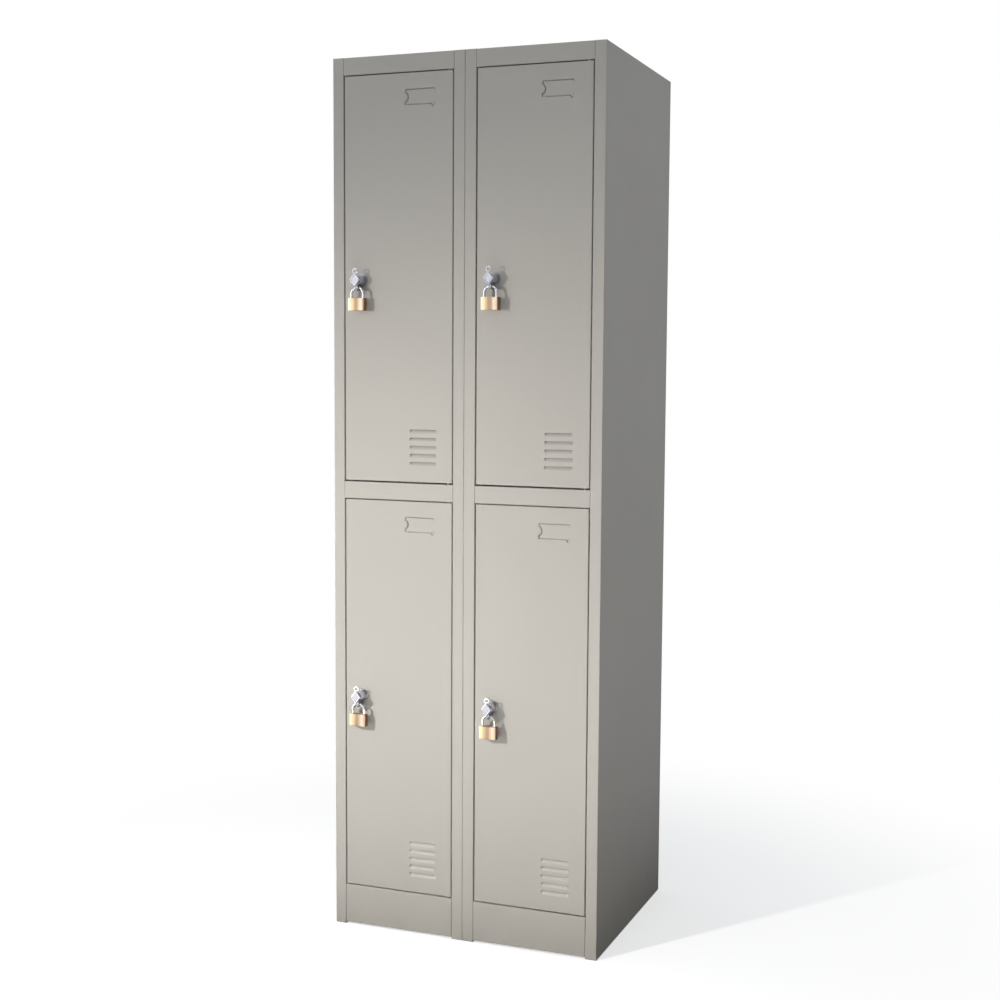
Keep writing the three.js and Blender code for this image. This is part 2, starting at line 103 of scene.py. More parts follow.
# %% Camera
CAMERA_PLACE = (1.230, -3.056, 1.2105)
YAW, PITCH, ROLL = (math.radians(a) for a in (20.403, 5.085, 0.477))
FOCAL_MM = 54.06
SENSOR_MM = 36.0
SHIFT = (-0.0418, 0.0024)

level_right = np.array([math.cos(YAW), math.sin(YAW), 0.0])
forward = np.array([-math.sin(YAW) * math.cos(PITCH), math.cos(YAW) * math.cos(PITCH), -math.sin(PITCH)])
level_up = np.cross(level_right, forward)
right = level_right * math.cos(ROLL) + level_up * math.sin(ROLL)
up = level_up * math.cos(ROLL) - level_right * math.sin(ROLL)

camera_data = bpy.data.cameras.new("camera")
camera_data.lens = FOCAL_MM
camera_data.sensor_width = SENSOR_MM
camera_data.shift_x, camera_data.shift_y = SHIFT
camera = bpy.data.objects.new("camera", camera_data)
bpy.context.scene.collection.objects.link(camera)
turn = np.stack([right, up, -forward], axis=1)
camera.matrix_world = Matrix.Translation(CAMERA_PLACE) @ Matrix(turn.tolist()).to_4x4()
bpy.context.scene.camera = camera
print("camera looks along", np.round(forward, 3))

# %% [markdown]
# ## Surfaces from arrays
#
# Every new piece is a grid of points that numpy works out at once. Two kinds of grid are
# enough. A folded sheet is a bent line carried along a straight path. Turned, milled and cast
# parts are an outline carried along a profile, as a lathe or a moulding plane would do it.

# %% Folded lines
def folded(points, radius=FOLD, steps=4):
    """The middle line of a bent sheet. Each corner p becomes an arc from p - a*t, where a is the
    run before it and t = r*tan(turn/2): point = start + r*(a*sin(u) + n*(1 - cos(u))), with n the
    side that the line turns to and u from 0 to the turn. A point on a straight run stays."""
    corner = np.array(points, float)
    run = np.diff(corner, axis=0)
    run /= np.linalg.norm(run, axis=1, keepdims=True)
    before, after = run[:-1], run[1:]
    cross = before[:, 0] * after[:, 1] - before[:, 1] * after[:, 0]
    bend = np.arctan2(cross, (before * after).sum(axis=1))
    side = np.stack([-before[:, 1], before[:, 0]], axis=1) * np.sign(bend)[:, None]
    start = corner[1:-1] - before * (radius * np.tan(np.abs(bend) / 2))[:, None]
    angle = np.linspace(0, 1, steps + 1)[None, :, None] * np.abs(bend)[:, None, None]
    arcs = start[:, None] + radius * (before[:, None] * np.sin(angle) + side[:, None] * (1 - np.cos(angle)))
    line = np.vstack([corner[:1], arcs.reshape(-1, 2), corner[-1:]])
    moved = np.linalg.norm(np.diff(line, axis=0), axis=1) > 1e-6
    return line[np.concatenate([[True], moved])]


def grid_faces(rows, columns, keep=None, closed=False, ring=False):
    """Quads between neighbours on a grid of points. closed joins the last column to the first,
    ring joins the last row to the first, and keep says which cells are there."""
    index = np.arange(rows * columns).reshape(rows, columns)
    index = np.hstack([index, index[:, :1]]) if closed else index
    index = np.vstack([index, index[:1]]) if ring else index
    quads = np.stack([index[:-1, :-1], index[:-1, 1:], index[1:, 1:], index[1:, :-1]], axis=-1)
    return (quads.reshape(-1, 4) if keep is None else quads[keep]).tolist()


def sheet(line, levels, axes, keep=None):
    """A line in the first two axes, carried along the third axis through the levels.
    keep(first, second, third) gets the middle of each cell and says where there is metal."""
    levels = np.array(levels, float)
    points = np.empty((len(levels), len(line), 3))
    points[..., axes[0]] = line[None, :, 0]
    points[..., axes[1]] = line[None, :, 1]
    points[..., axes[2]] = levels[:, None]
    middle = (line[:-1] + line[1:]) / 2
    height = (levels[:-1] + levels[1:]) / 2
    there = None
    if keep is not None:
        shape = (len(height), len(middle))
        there = keep(*np.broadcast_arrays(middle[None, :, 0], middle[None, :, 1], height[:, None]))
        there = np.broadcast_to(there, shape)
    return points.reshape(-1, 3), grid_faces(*points.shape[:2], keep=there)


print("a square corner bends through", len(folded([(0, 0), (10, 0), (10, 10)])) - 2, "points")


# %% Outlines carried along a profile
def outline(centres, steps):
    """Core points and outward unit normals of a convex outline with round corners. The normals
    turn evenly from one edge's normal to the next; one centre alone gives a full circle."""
    centres = np.array(centres, float)
    if len(centres) == 1:
        angles = np.linspace(0, TAU, 4 * steps, endpoint=False)
    else:
        edge = np.roll(centres, -1, axis=0) - centres
        leaving = np.arctan2(-edge[:, 0], edge[:, 1])
        arriving = np.roll(leaving, 1)
        swing = (leaving - arriving) % TAU
        angles = (arriving[:, None] + swing[:, None] * np.linspace(0, 1, steps + 1)).ravel()
    core = np.repeat(centres, len(angles) // len(centres), axis=0)
    return core, np.stack([np.cos(angles), np.sin(angles)], axis=1)


def carried(centres, profile, axes, steps=8, ring=False, middle=(0.0, 0.0)):
    """Point = middle + core*scale + normal*offset in the first two axes, at the profile's height
    along the third. A profile row is (offset, height) or (offset, height, scale). Flat caps
    close the ends, or the profile closes on itself as a ring."""
    core, normal = outline(centres, steps)
    rows = np.array([tuple(row) + (1.0,) * (3 - len(row)) for row in profile], float)
    plane = core[None] * rows[:, 2, None, None] + normal[None] * rows[:, 0, None, None]
    points = np.empty(plane.shape[:2] + (3,))
    points[..., axes[0]] = plane[..., 0] + middle[0]
    points[..., axes[1]] = plane[..., 1] + middle[1]
    points[..., axes[2]] = rows[:, 1, None]
    count, around = points.shape[:2]
    faces = grid_faces(count, around, closed=True, ring=ring)
    if not ring:
        faces += [list(range(around)), list(range((count - 1) * around, count * around))]
    return points.reshape(-1, 3), faces


def rounded(offset, low, high, edge, steps=3):
    """Profile of a plate with round edges: quarter circles of radius edge at both rims."""
    a = np.linspace(0, TAU / 4, steps + 1)
    lower = np.stack([offset - edge + edge * np.sin(a), low + edge - edge * np.cos(a)], axis=1)
    upper = np.stack([offset - edge + edge * np.cos(a), high - edge + edge * np.sin(a)], axis=1)
    return [tuple(row) for row in np.vstack([lower, upper])]


def washer(inner, outer, low, high, edge, steps=3):
    """Profile of a plate with a round hole: the outer rim up, then the hole's wall down."""
    outside = rounded(outer, low, high, edge, steps)
    hole = [(2 * inner - o, h) for o, h in rounded(inner, low, high, edge, steps)[::-1]]
    return outside + hole


def round_bar(radius, low, high, centre, axes, edge=0.3, steps=6):
    """A round bar with eased ends, along the third axis."""
    return carried([(0, 0)], rounded(radius, low, high, edge), axes, steps, middle=centre)


def swept_wire(path, radius, around=14):
    """A round wire along a path in the x, z plane. With t the path's direction and n = t turned
    a quarter, point = path + r*(n*cos(v) + y*sin(v)), and flat caps close both ends."""
    path = np.array(path, float)
    along = np.gradient(path, axis=0)
    along /= np.linalg.norm(along, axis=1, keepdims=True)
    v = np.linspace(0, TAU, around, endpoint=False)
    points = np.empty((len(path), around, 3))
    points[..., X] = path[:, None, 0] - along[:, None, 1] * radius * np.cos(v)
    points[..., Z] = path[:, None, 1] + along[:, None, 0] * radius * np.cos(v)
    points[..., Y] = radius * np.sin(v)
    last = (len(path) - 1) * around
    caps = [list(range(around)), list(range(last, last + around))]
    return points.reshape(-1, 3), grid_faces(len(path), around, closed=True) + caps


print("a coin has", len(carried([(0, 0)], rounded(10, 0, 2, 0.4), (X, Y, Z))[1]), "faces")

# %% [markdown]
# ## From arrays to a finished piece
#
# An open sheet gets its thickness from a Solidify modifier, half to each side of the middle
# line, and holes are cut with a Boolean. Both are applied at once, so a finished piece is a
# plain closed mesh at the origin. Edges sharper than a set angle stay crisp, and normals are
# weighted by area, so that a flat face stays flat right up to the small fold beside it.

# %% Piece maker
def moved_by(shell, offset):
    """A shell of points and faces, shifted by an offset."""
    return shell[0] + np.array(offset, float), shell[1]


def joined(shells):
    """Several shells as one list of points and one list of faces."""
    starts = np.cumsum([0] + [len(points) for points, _ in shells[:-1]])
    faces = [[i + start for i in face] for (_, each), start in zip(shells, starts) for face in each]
    return np.vstack([points for points, _ in shells]), faces


def tidy(mesh):
    """Merges doubled points, drops faces without area and points all faces outwards."""
    work = bmesh.new()
    work.from_mesh(mesh)
    bmesh.ops.remove_doubles(work, verts=work.verts, dist=1e-6)
    bmesh.ops.dissolve_degenerate(work, edges=work.edges, dist=1e-7)
    bmesh.ops.recalc_face_normals(work, faces=work.faces)
    work.to_mesh(mesh)
    work.free()


def raw_object(name, shells):
    """An object whose mesh holds the shells, turned from millimetres to metres."""
    points, faces = joined(shells)
    mesh = bpy.data.meshes.new(name)
    mesh.from_pydata((points * MM).tolist(), [], faces)
    tidy(mesh)
    made = bpy.data.objects.new(name, mesh)
    bpy.context.scene.collection.objects.link(made)
    return made


def evaluated_mesh(piece):
    """The piece's mesh as its modifiers leave it."""
    graph = bpy.context.evaluated_depsgraph_get()
    return bpy.data.meshes.new_from_object(piece.evaluated_get(graph), preserve_all_data_layers=True,
                                           depsgraph=graph)


def applied(piece):
    """Puts the modifiers' result into the mesh, and takes the modifiers off."""
    piece.data = evaluated_mesh(piece)
    piece.modifiers.clear()
    tidy(piece.data)


def shaped(name, shells, thickness=None, cutters=(), sharp=32.0):
    """A finished mesh object from shells. thickness turns open sheets into metal, and each
    cutter is a closed shell that is taken away."""
    piece = raw_object(name, shells)
    if thickness:
        wall = piece.modifiers.new("wall", "SOLIDIFY")
        wall.thickness = thickness * MM
        wall.offset = 0.0
        wall.use_even_offset = True
        applied(piece)
    for cutter in cutters:
        tool = raw_object(name + "_cutter", [cutter])
        cut = piece.modifiers.new("cut", "BOOLEAN")
        cut.operation = "DIFFERENCE"
        cut.solver = "EXACT"
        cut.object = tool
        applied(piece)
        bpy.data.objects.remove(tool)
    piece.data.shade_smooth()
    piece.data.set_sharp_from_angle(angle=math.radians(sharp))
    flat = piece.modifiers.new("flat", "WEIGHTED_NORMAL")
    flat.keep_sharp = True
    piece.data = evaluated_mesh(piece)
    piece.modifiers.clear()
    return piece


def placed_copy(name, source, offset):
    """A piece like source, shifted by an offset in millimetres that goes into its mesh."""
    mesh = source.data.copy()
    points = np.empty(len(mesh.vertices) * 3)
    mesh.vertices.foreach_get("co", points)
    points = points.reshape(-1, 3) + np.array(offset) * MM
    mesh.vertices.foreach_set("co", points.ravel())
    mesh.update()
    made = bpy.data.objects.new(name, mesh)
    bpy.context.scene.collection.objects.link(made)
    return made


def mark_across(piece):
    """Stores how far each point is across the piece: across = (x - low) / (high - low)."""
    points = np.empty(len(piece.data.vertices) * 3)
    piece.data.vertices.foreach_get("co", points)
    x = points[0::3]
    share = piece.data.attributes.new("across", "FLOAT", "POINT")
    share.data.foreach_set("value", (x - x.min()) / np.ptp(x))


def fitted(piece, material, body, slot, *nodes):
    """Gives a piece its finish and its body, and lets it stand for nodes of the frame."""
    piece.data.materials.clear()
    piece.data.materials.append(material)
    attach(piece, body)
    if nodes:
        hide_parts(*nodes)
    return piece


# %% [markdown]
# ## Finishes
#
# Colours are written as the hex values that a paint chart or a picture editor shows, and one
# function turns them to the linear values that the shaders want. One more function adds any
# node. Pattern scales are worked out from millimetres, because the textures read object
# coordinates, and those are in metres.

# %% Colour and node helpers
def linear(code, alpha=1.0):
    """sRGB hex to linear: c/12.92 below 0.04045, else ((c + 0.055)/1.055) to the power 2.4."""
    c = np.array([int(code[i:i + 2], 16) / 255 for i in (1, 3, 5)])
    c = np.where(c <= 0.04045, c / 12.92, ((c + 0.055) / 1.055) ** 2.4)
    return (*c.tolist(), alpha)


def add(tree, kind, inputs=None, **settings):
    """Adds a node. Settings are its properties; an input is linked if it is a socket, else set."""
    made = tree.nodes.new(kind)
    for name, value in settings.items():
        setattr(made, name, value)
    for name, value in (inputs or {}).items():
        if isinstance(value, bpy.types.NodeSocket):
            tree.links.new(value, made.inputs[name])
        else:
            made.inputs[name].default_value = value
    return made


def per_metre(size_mm):
    """Texture scale for features of about this size."""
    return 1.0 / (size_mm * MM)


def new_finish(name):
    """A material with an empty tree, its object coordinates and its principled shader."""
    material = bpy.data.materials.new(name)
    material.use_nodes = True
    tree = material.node_tree
    tree.nodes.clear()
    place = add(tree, "ShaderNodeTexCoord").outputs["Object"]
    shader = add(tree, "ShaderNodeBsdfPrincipled")
    add(tree, "ShaderNodeOutputMaterial", {"Surface": shader.outputs["BSDF"]})
    return material, tree, place, shader


# %% [markdown]
# ### Polyester powder coat
#
# Dry paint powder is sprayed onto earthed steel and melted in an oven. It flows out to an
# even semi-gloss skin with a fine orange peel, which breaks reflections up without hiding
# them. The thin sheet behind it is never quite flat, so broad soft waves run through the
# gloss. The colour is drawn darker and greyer, in blotches, over the last few centimetres
# above the ground.

# %% Powder coat
FILM_MM, WIPE_MM, WAVE_MM = 380, 120, 260   # film thickness, cloth wipes, sheet waves
FLECK_MM, PEEL_MM = 2.2, 3.0                # powder flecks and orange peel, drawn coarse to show
# A darker, greyer tone drawn near the ground: its colour, the height in metres where it ends, and its
# strongest share.
FOOT_TONE, FOOT_TONE_TOP, FOOT_TONE_SHARE = "#8d897f", 0.11, 0.5
COAT_IOR = 1.5
COAT_ROUGHNESS = (0.42, 0.48)


def powder_coat(name, base, shade):
    """Colour = film mix of base and shade, times flecks, mixed with a darker grey that fades
    out with height. Normal = sheet waves under orange peel. Wipes move the roughness and the grey."""
    material, tree, place, shader = new_finish(name)
    film = add(tree, "ShaderNodeTexNoise",
               {"Vector": place, "Scale": per_metre(FILM_MM), "Detail": 3.0})
    grain = add(tree, "ShaderNodeTexNoise",
                {"Vector": place, "Scale": per_metre(FLECK_MM), "Detail": 2.0})
    wiped = add(tree, "ShaderNodeMapping", {"Vector": place, "Scale": (1.0, 1.0, 0.5)})
    wipes = add(tree, "ShaderNodeTexNoise",
                {"Vector": wiped.outputs[0], "Scale": per_metre(WIPE_MM), "Detail": 3.0,
                 "Roughness": 0.5})
    tint = add(tree, "ShaderNodeMapRange",
               {"Value": film.outputs["Fac"], "From Min": 0.3, "From Max": 0.7,
                "To Min": 0.0, "To Max": 0.35})
    coat = add(tree, "ShaderNodeMix", {"Factor": tint.outputs[0]}, data_type="RGBA")
    coat.inputs["A"].default_value = linear(base)
    coat.inputs["B"].default_value = linear(shade)
    fleck = add(tree, "ShaderNodeMapRange",
                {"Value": grain.outputs["Fac"], "From Min": 0.25, "From Max": 0.75,
                 "To Min": 0.975, "To Max": 1.02})
    flecked = add(tree, "ShaderNodeVectorMath", {0: coat.outputs["Result"], "Scale": fleck.outputs[0]},
                  operation="SCALE")
    height = add(tree, "ShaderNodeSeparateXYZ", {"Vector": place})
    # Darker and greyer towards the foot, in blotches from the wipes.
    near = add(tree, "ShaderNodeMapRange",
               {"Value": height.outputs["Z"], "From Min": 0.0, "From Max": FOOT_TONE_TOP,
                "To Min": FOOT_TONE_SHARE, "To Max": 0.0})
    foot_share = add(tree, "ShaderNodeMath", {0: near.outputs[0], 1: wipes.outputs["Fac"]},
                operation="MULTIPLY")
    toned = add(tree, "ShaderNodeMix", {"Factor": foot_share.outputs[0], "A": flecked.outputs[0]},
               data_type="RGBA")
    toned.inputs["B"].default_value = linear(FOOT_TONE)
    tree.links.new(toned.outputs["Result"], shader.inputs["Base Color"])
    gloss = add(tree, "ShaderNodeMapRange",
                {"Value": wipes.outputs["Fac"], "From Min": 0.3, "From Max": 0.7,
                 "To Min": COAT_ROUGHNESS[0], "To Max": COAT_ROUGHNESS[1]})
    tree.links.new(gloss.outputs[0], shader.inputs["Roughness"])
    shader.inputs["IOR"].default_value = COAT_IOR
    sheet_wave = add(tree, "ShaderNodeTexNoise",
                     {"Vector": place, "Scale": per_metre(WAVE_MM), "Detail": 1.0})
    waves = add(tree, "ShaderNodeBump",
                {"Height": sheet_wave.outputs["Fac"], "Strength": 0.5, "Distance": 0.6 * MM})
    peel = add(tree, "ShaderNodeTexNoise", {"Vector": place, "Scale": per_metre(PEEL_MM), "Detail": 2.0})
    skin = add(tree, "ShaderNodeBump",
               {"Height": peel.outputs["Fac"], "Strength": 0.35, "Distance": 0.03 * MM,
                "Normal": waves.outputs["Normal"]})
    tree.links.new(skin.outputs["Normal"], shader.inputs["Normal"])
    return material


carcass_coat = powder_coat("powder_coat_carcass", "#bdb9b1", "#b3afa7")
door_coat = powder_coat("powder_coat_doors", "#bcb8b0", "#b4b0a8")
print("powder coats ready")

# %% [markdown]
# ### Bright metals
#
# The lock is a zinc casting, polished and chrome plated: close to a mirror, with fine hairline
# scratches from keys. The knob's face is bead blasted before plating, so it is satin, and the
# housing behind it keeps the duller skin of the casting. The shackle is hardened steel with
# the same chrome. Pins, cams, nuts and hanging rails are bright zinc plated, which is greyer
# and blotchy. A metal's colour is its reflectance, so each starts from the usual value for
# that metal and keeps the default index of refraction.

# %% Plated metals
def plated(name, colour, second, rough_low, rough_high, blotch_mm, scratch_mm, bump_mm):
    """A plated metal: two close colours in blotches, and hairlines in roughness and bump."""
    material, tree, place, shader = new_finish(name)
    blotch = add(tree, "ShaderNodeTexNoise",
                 {"Vector": place, "Scale": per_metre(blotch_mm), "Detail": 3.0})
    mixed = add(tree, "ShaderNodeMix", {"Factor": blotch.outputs["Fac"]}, data_type="RGBA")
    mixed.inputs["A"].default_value = linear(colour)
    mixed.inputs["B"].default_value = linear(second)
    tree.links.new(mixed.outputs["Result"], shader.inputs["Base Color"])
    slanted = add(tree, "ShaderNodeMapping",
                  {"Vector": place, "Rotation": (0.3, 0.5, 0.2), "Scale": (1.0, 1.0, 0.08)})
    hairs = add(tree, "ShaderNodeTexNoise",
                {"Vector": slanted.outputs[0], "Scale": per_metre(scratch_mm), "Detail": 4.0})
    rough = add(tree, "ShaderNodeMapRange",
                {"Value": hairs.outputs["Fac"], "From Min": 0.35, "From Max": 0.7,
                 "To Min": rough_low, "To Max": rough_high})
    tree.links.new(rough.outputs[0], shader.inputs["Roughness"])
    marks = add(tree, "ShaderNodeBump",
                {"Height": hairs.outputs["Fac"], "Strength": 0.3, "Distance": bump_mm * MM})
    tree.links.new(marks.outputs["Normal"], shader.inputs["Normal"])
    shader.inputs["Metallic"].default_value = 1.0
    return material


chrome = plated("chrome_polished", "#e2e3e8", "#d6d8de", 0.08, 0.2, 9.0, 0.8, 0.01)
satin_chrome = plated("chrome_satin", "#c3c2cd", "#b4b3bf", 0.34, 0.46, 5.0, 0.5, 0.03)
steel_chrome = plated("chrome_shackle", "#e6e7ea", "#d8dade", 0.1, 0.22, 12.0, 0.7, 0.01)
cast_chrome = plated("chrome_cast", "#a9a9b0", "#98989f", 0.28, 0.42, 5.0, 0.6, 0.03)
zinc = plated("zinc_bright", "#b9bcbf", "#a3a6ab", 0.28, 0.44, 6.0, 1.2, 0.02)
print("plated metals ready")

# %% [markdown]
# ### Brushed brass
#
# The padlock's body is sawn from extruded brass bar and linished on a belt, which leaves fine
# parallel lines from top to bottom. On a real padlock, broad upright bands of light and dark
# come mostly from what the brushed metal reflects. Here they are painted into the base colour:
# pale at the left edge, yellow, brown in the middle, pinkish, and dark round the right corner.
# That is a shortcut. It suits a view from the front, but the bands stay where they are when
# the padlock turns or the light moves, and a plain brass under a richer surround would be
# truer. The lines are drawn a little coarser than the real 0.1 mm, so that they still show.

# %% Brushed brass
LINE_MM, WANDER_MM = 0.35, 5.0
WANDER = 0.1             # share of the width by which a band's edge strays
BRASS_ROUGHNESS = (0.42, 0.55)
BRASS_BANDS = [          # share of the width from the left, colour
    (0.0, "#fff8ec"), (0.08, "#f6e9cc"), (0.26, "#e5cd9e"), (0.42, "#ae947b"),
    (0.58, "#b69b85"), (0.72, "#f0d8c0"), (0.88, "#e7ccb2"), (0.97, "#9f836b"), (1.0, "#8a705a"),
]


def brushed_brass():
    """Brass whose bands follow the mesh's own attribute across, from 0 at the left to 1."""
    material, tree, place, shader = new_finish("brass_brushed")
    stretched = add(tree, "ShaderNodeMapping", {"Vector": place, "Scale": (1.0, 1.0, 0.02)})
    lines = add(tree, "ShaderNodeTexNoise",
                {"Vector": stretched.outputs[0], "Scale": per_metre(LINE_MM), "Detail": 3.0,
                 "Roughness": 0.7})
    wander = add(tree, "ShaderNodeTexNoise",
                 {"Vector": stretched.outputs[0], "Scale": per_metre(WANDER_MM), "Detail": 1.0})
    across = add(tree, "ShaderNodeAttribute", attribute_name="across")
    shift = add(tree, "ShaderNodeMapRange",
                {"Value": wander.outputs["Fac"], "To Min": -WANDER, "To Max": WANDER})
    spot = add(tree, "ShaderNodeMath", {0: across.outputs["Fac"], 1: shift.outputs[0]},
               operation="ADD")
    ramp = add(tree, "ShaderNodeValToRGB", {"Fac": spot.outputs[0]})
    stops = ramp.color_ramp.elements
    while len(stops) < len(BRASS_BANDS):
        stops.new(0.5)
    for stop, (position, code) in zip(stops, BRASS_BANDS):
        stop.position = position
        stop.color = linear(code)
    tree.links.new(ramp.outputs["Color"], shader.inputs["Base Color"])
    rough = add(tree, "ShaderNodeMapRange",
                {"Value": lines.outputs["Fac"], "From Min": 0.3, "From Max": 0.7,
                 "To Min": BRASS_ROUGHNESS[0], "To Max": BRASS_ROUGHNESS[1]})
    tree.links.new(rough.outputs[0], shader.inputs["Roughness"])
    brush = add(tree, "ShaderNodeBump",
                {"Height": lines.outputs["Fac"], "Strength": 0.4, "Distance": 0.03 * MM})
    tree.links.new(brush.outputs["Normal"], shader.inputs["Normal"])
    shader.inputs["Metallic"].default_value = 1.0
    return material


brass = brushed_brass()
print("brass ready")

# %% [markdown]
# ## The side walls
#
# A side wall and its front stile are one sheet, folded four times on a press brake: a flange
# at the rear, the wall, the stile's face, its return, and a lip. On the lock side the lip
# stands behind the door and stops it. On the hinge side it turns away, so that the door's
# edge can swing past. The section is drawn once as a bent line and carried up the height.

# %% Side walls
FLANGE = 16.0
FOOT_INSET = 30.0
FOOT_GAP = 0.2           # from the wall to its foot flange
HINGE_LIP_STEP = 1.5     # the hinge stile's lip stands this far in front of the other's
WALL_REACH = 2.0         # cells closer than this to the outside belong to the wall itself
PLINTH = box_mm("left_bay_kick_plate")[1][Z]
ROOF_UNDERSIDE = HEIGHT - SHEET - CLEAR


def side_wall(node):
    """Section of the wall from rear flange to lip, mirrored for the hinge side."""
    low, high = box_mm(node)
    lock_side = high[X] - low[X] > STILE + 1
    outer, way = (low[X], 1.0) if lock_side else (high[X], -1.0)
    back = high[Y]
    lip_y = FRONT + (STILE_DEPTH if lock_side else STILE_DEPTH - HINGE_LIP_STEP) - HALF
    lip_x = high[X] if lock_side else low[X] + HEM
    corners = [
        (outer + way * FLANGE, back - HALF),
        (outer + way * HALF, back - HALF),
        (outer + way * HALF, FRONT + HALF),
        (outer + way * (STILE - HALF), FRONT + HALF),
        (outer + way * (STILE - HALF), lip_y),
        (lip_x, lip_y),
    ]

    def metal(x, y, z):
        behind = (np.abs(x - outer) > WALL_REACH) & (y > FRONT + HALF + FOLD)
        stop = np.abs(x - outer) > STILE
        return (~behind | (z < ROOF_UNDERSIDE)) & (~stop | (z > PLINTH))

    levels = [0, PLINTH + CLEAR, ROOF_UNDERSIDE, HEIGHT]
    wall = sheet(folded(corners), levels, (X, Y, Z), metal)
    foot_line = np.array([(outer + way * (SHEET + FOOT_GAP), HALF), (outer + way * FLANGE, HALF)])
    foot = sheet(foot_line, [FRONT + FOOT_INSET, back - FOOT_INSET], (X, Z, Y))
    piece = shaped("wall_" + node, [wall, foot], thickness=SHEET)
    return fitted(piece, carcass_coat, "root", "carcass_paint", node)


WALLS = ["left_bay_outer_side_panel", "left_bay_inner_side_panel",
         "right_bay_inner_side_panel", "right_bay_outer_side_panel"]
walls = [side_wall(node) for node in WALLS]
print("walls:", [len(w.data.polygons) for w in walls], "faces")

# %% [markdown]
# ## Roof and shelf
#
# The roof is folded down at the front to make the top rail, back over the door, and down
# again as a stop lip. The shelf between the compartments is made the same way. Both need
# notches where they pass the stiles, so cells of the grid are left out there.

# %% Roof and shelf
RAIL = 36.0
RAIL_DEPTH = 17.8
STOP_DROP = 8.0
STOP_LIP = 9.0
HINGE_ROOM = 52.5
NOTCH = 18.0
ROOF_START = 1.9         # the roof reaches full width this far behind the front
HEM_START, HEM_END = 24.0, 2.0
SEAM = 0.05              # left between a side hem and the sheet above it


def cross_sheet(node, side, corner_start, name):
    """Section in y and z from the rear hem to the stop lip, carried across the bay."""
    low, high = box_mm(node)
    rail_low, rail_high = box_mm(f"{side}_bay_kick_plate")
    top, rear = high[Z], high[Y]
    bottom = top - RAIL
    stop_start = rail_low[X] + STOP_LIP
    stop_end = rail_high[X] + STILE - HINGE_ROOM
    corner_y = FRONT + corner_start
    corners = [
        (rear - HALF, top - HEM),
        (rear - HALF, top - HALF),
        (corner_y, top - HALF),
        (FRONT + HALF, top - HALF),
        (FRONT + HALF, bottom + HALF),
        (FRONT + RAIL_DEPTH - HALF, bottom + HALF),
        (FRONT + RAIL_DEPTH - HALF, bottom - STOP_DROP),
    ]

    def metal(y, z, x):
        inside = (x > rail_low[X]) & (x < rail_high[X])
        hem = y > rear - HALF - FOLD
        hem_room = (x > low[X] + NOTCH) & (x < high[X] - NOTCH)
        lip = z < bottom
        lip_room = (x > stop_start) & (x < stop_end)
        flat = (y > corner_y) & (z > top - SHEET)
        return (inside | flat) & (~hem | hem_room) & (~lip | lip_room)

    levels = [low[X], low[X] + NOTCH, rail_low[X], stop_start, stop_end, rail_high[X],
              high[X] - NOTCH, high[X]]
    main = sheet(folded(corners), levels, (Y, Z, X), metal)
    side_hems = [
        sheet(np.array([(x, top - HEM), (x, top - SHEET - SEAM)]),
              [FRONT + HEM_START, rear - HEM_END], (X, Z, Y))
        for x in (low[X] + HALF, high[X] - HALF)
    ]
    piece = shaped(name, [main, *side_hems], thickness=SHEET)
    return fitted(piece, carcass_coat, "root", "carcass_paint", node)


for side in SIDES:
    roof = cross_sheet(f"{side}_bay_top_panel", side, ROOF_START, f"roof_{side}")
    shelf = cross_sheet(f"{side}_bay_mid_shelf", side, STILE_DEPTH + CLEAR, f"shelf_{side}")
print("roof and shelf:", len(roof.data.polygons), len(shelf.data.polygons), "faces")

# %% [markdown]
# ## A pressed pan
#
# Doors and kick plates are shallow pans: a face whose four edges fold back. The face is a
# grid of x and z lines, and a depth function presses features into it. The rim is a bent
# profile carried round the face's edge, with mitred corners. Grid lines stand close together
# only where a pressing needs them.

# %% Pan
def pan(across, upward, sink, profile, keep=None, bend=None):
    """Face point = (x, sink(x, z), z), after bend has moved x and z. Rim point = edge point +
    outward direction * offset, at the profile's depth; at a corner both directions add up."""
    x, z = np.meshgrid(across, upward)
    cell_x, cell_z = np.meshgrid((across[:-1] + across[1:]) / 2, (upward[:-1] + upward[1:]) / 2)
    placed_x, placed_z = bend(x, z) if bend else (x, z)
    face = np.stack([placed_x, sink(x, z), placed_z], axis=-1).reshape(-1, 3)
    rows, columns = x.shape
    there = np.ones(cell_x.shape, bool) if keep is None else keep(cell_x, cell_z)
    faces = grid_faces(rows, columns, keep=there)
    index = np.arange(rows * columns).reshape(rows, columns)
    loop = np.concatenate([index[0, :-1], index[:-1, -1], index[-1, :0:-1], index[:0:-1, 0]])
    edge = face[loop]
    out_x = (edge[:, X] == across[-1]).astype(float) - (edge[:, X] == across[0])
    out_z = (edge[:, Z] == upward[-1]).astype(float) - (edge[:, Z] == upward[0])
    rim = np.repeat(edge[None], len(profile), axis=0)
    rim[..., X] += out_x * profile[:, 0, None]
    rim[..., Z] += out_z * profile[:, 0, None]
    rim[..., Y] = profile[:, 1, None]
    return joined([(face, faces), (rim.reshape(-1, 3), grid_faces(*rim.shape[:2], closed=True))])


def pan_rim(depth, hem, thickness, radius):
    """Profile from the face's edge round the front fold, back, and in again as a hem."""
    half = thickness / 2
    return folded([(0, half), (radius, half), (radius, depth - half), (radius + half - hem, depth - half)],
                  radius, 5)


def lines_of(*groups):
    """Grid lines from several groups, sorted, with none doubled."""
    return np.unique(np.round(np.concatenate([np.atleast_1d(g) for g in groups]), 4))


# %% [markdown]
# ### Kick plates
#
# The kick plate closes the plinth below the lower doors. It stands a few millimetres clear
# of the ground, between the two stiles.

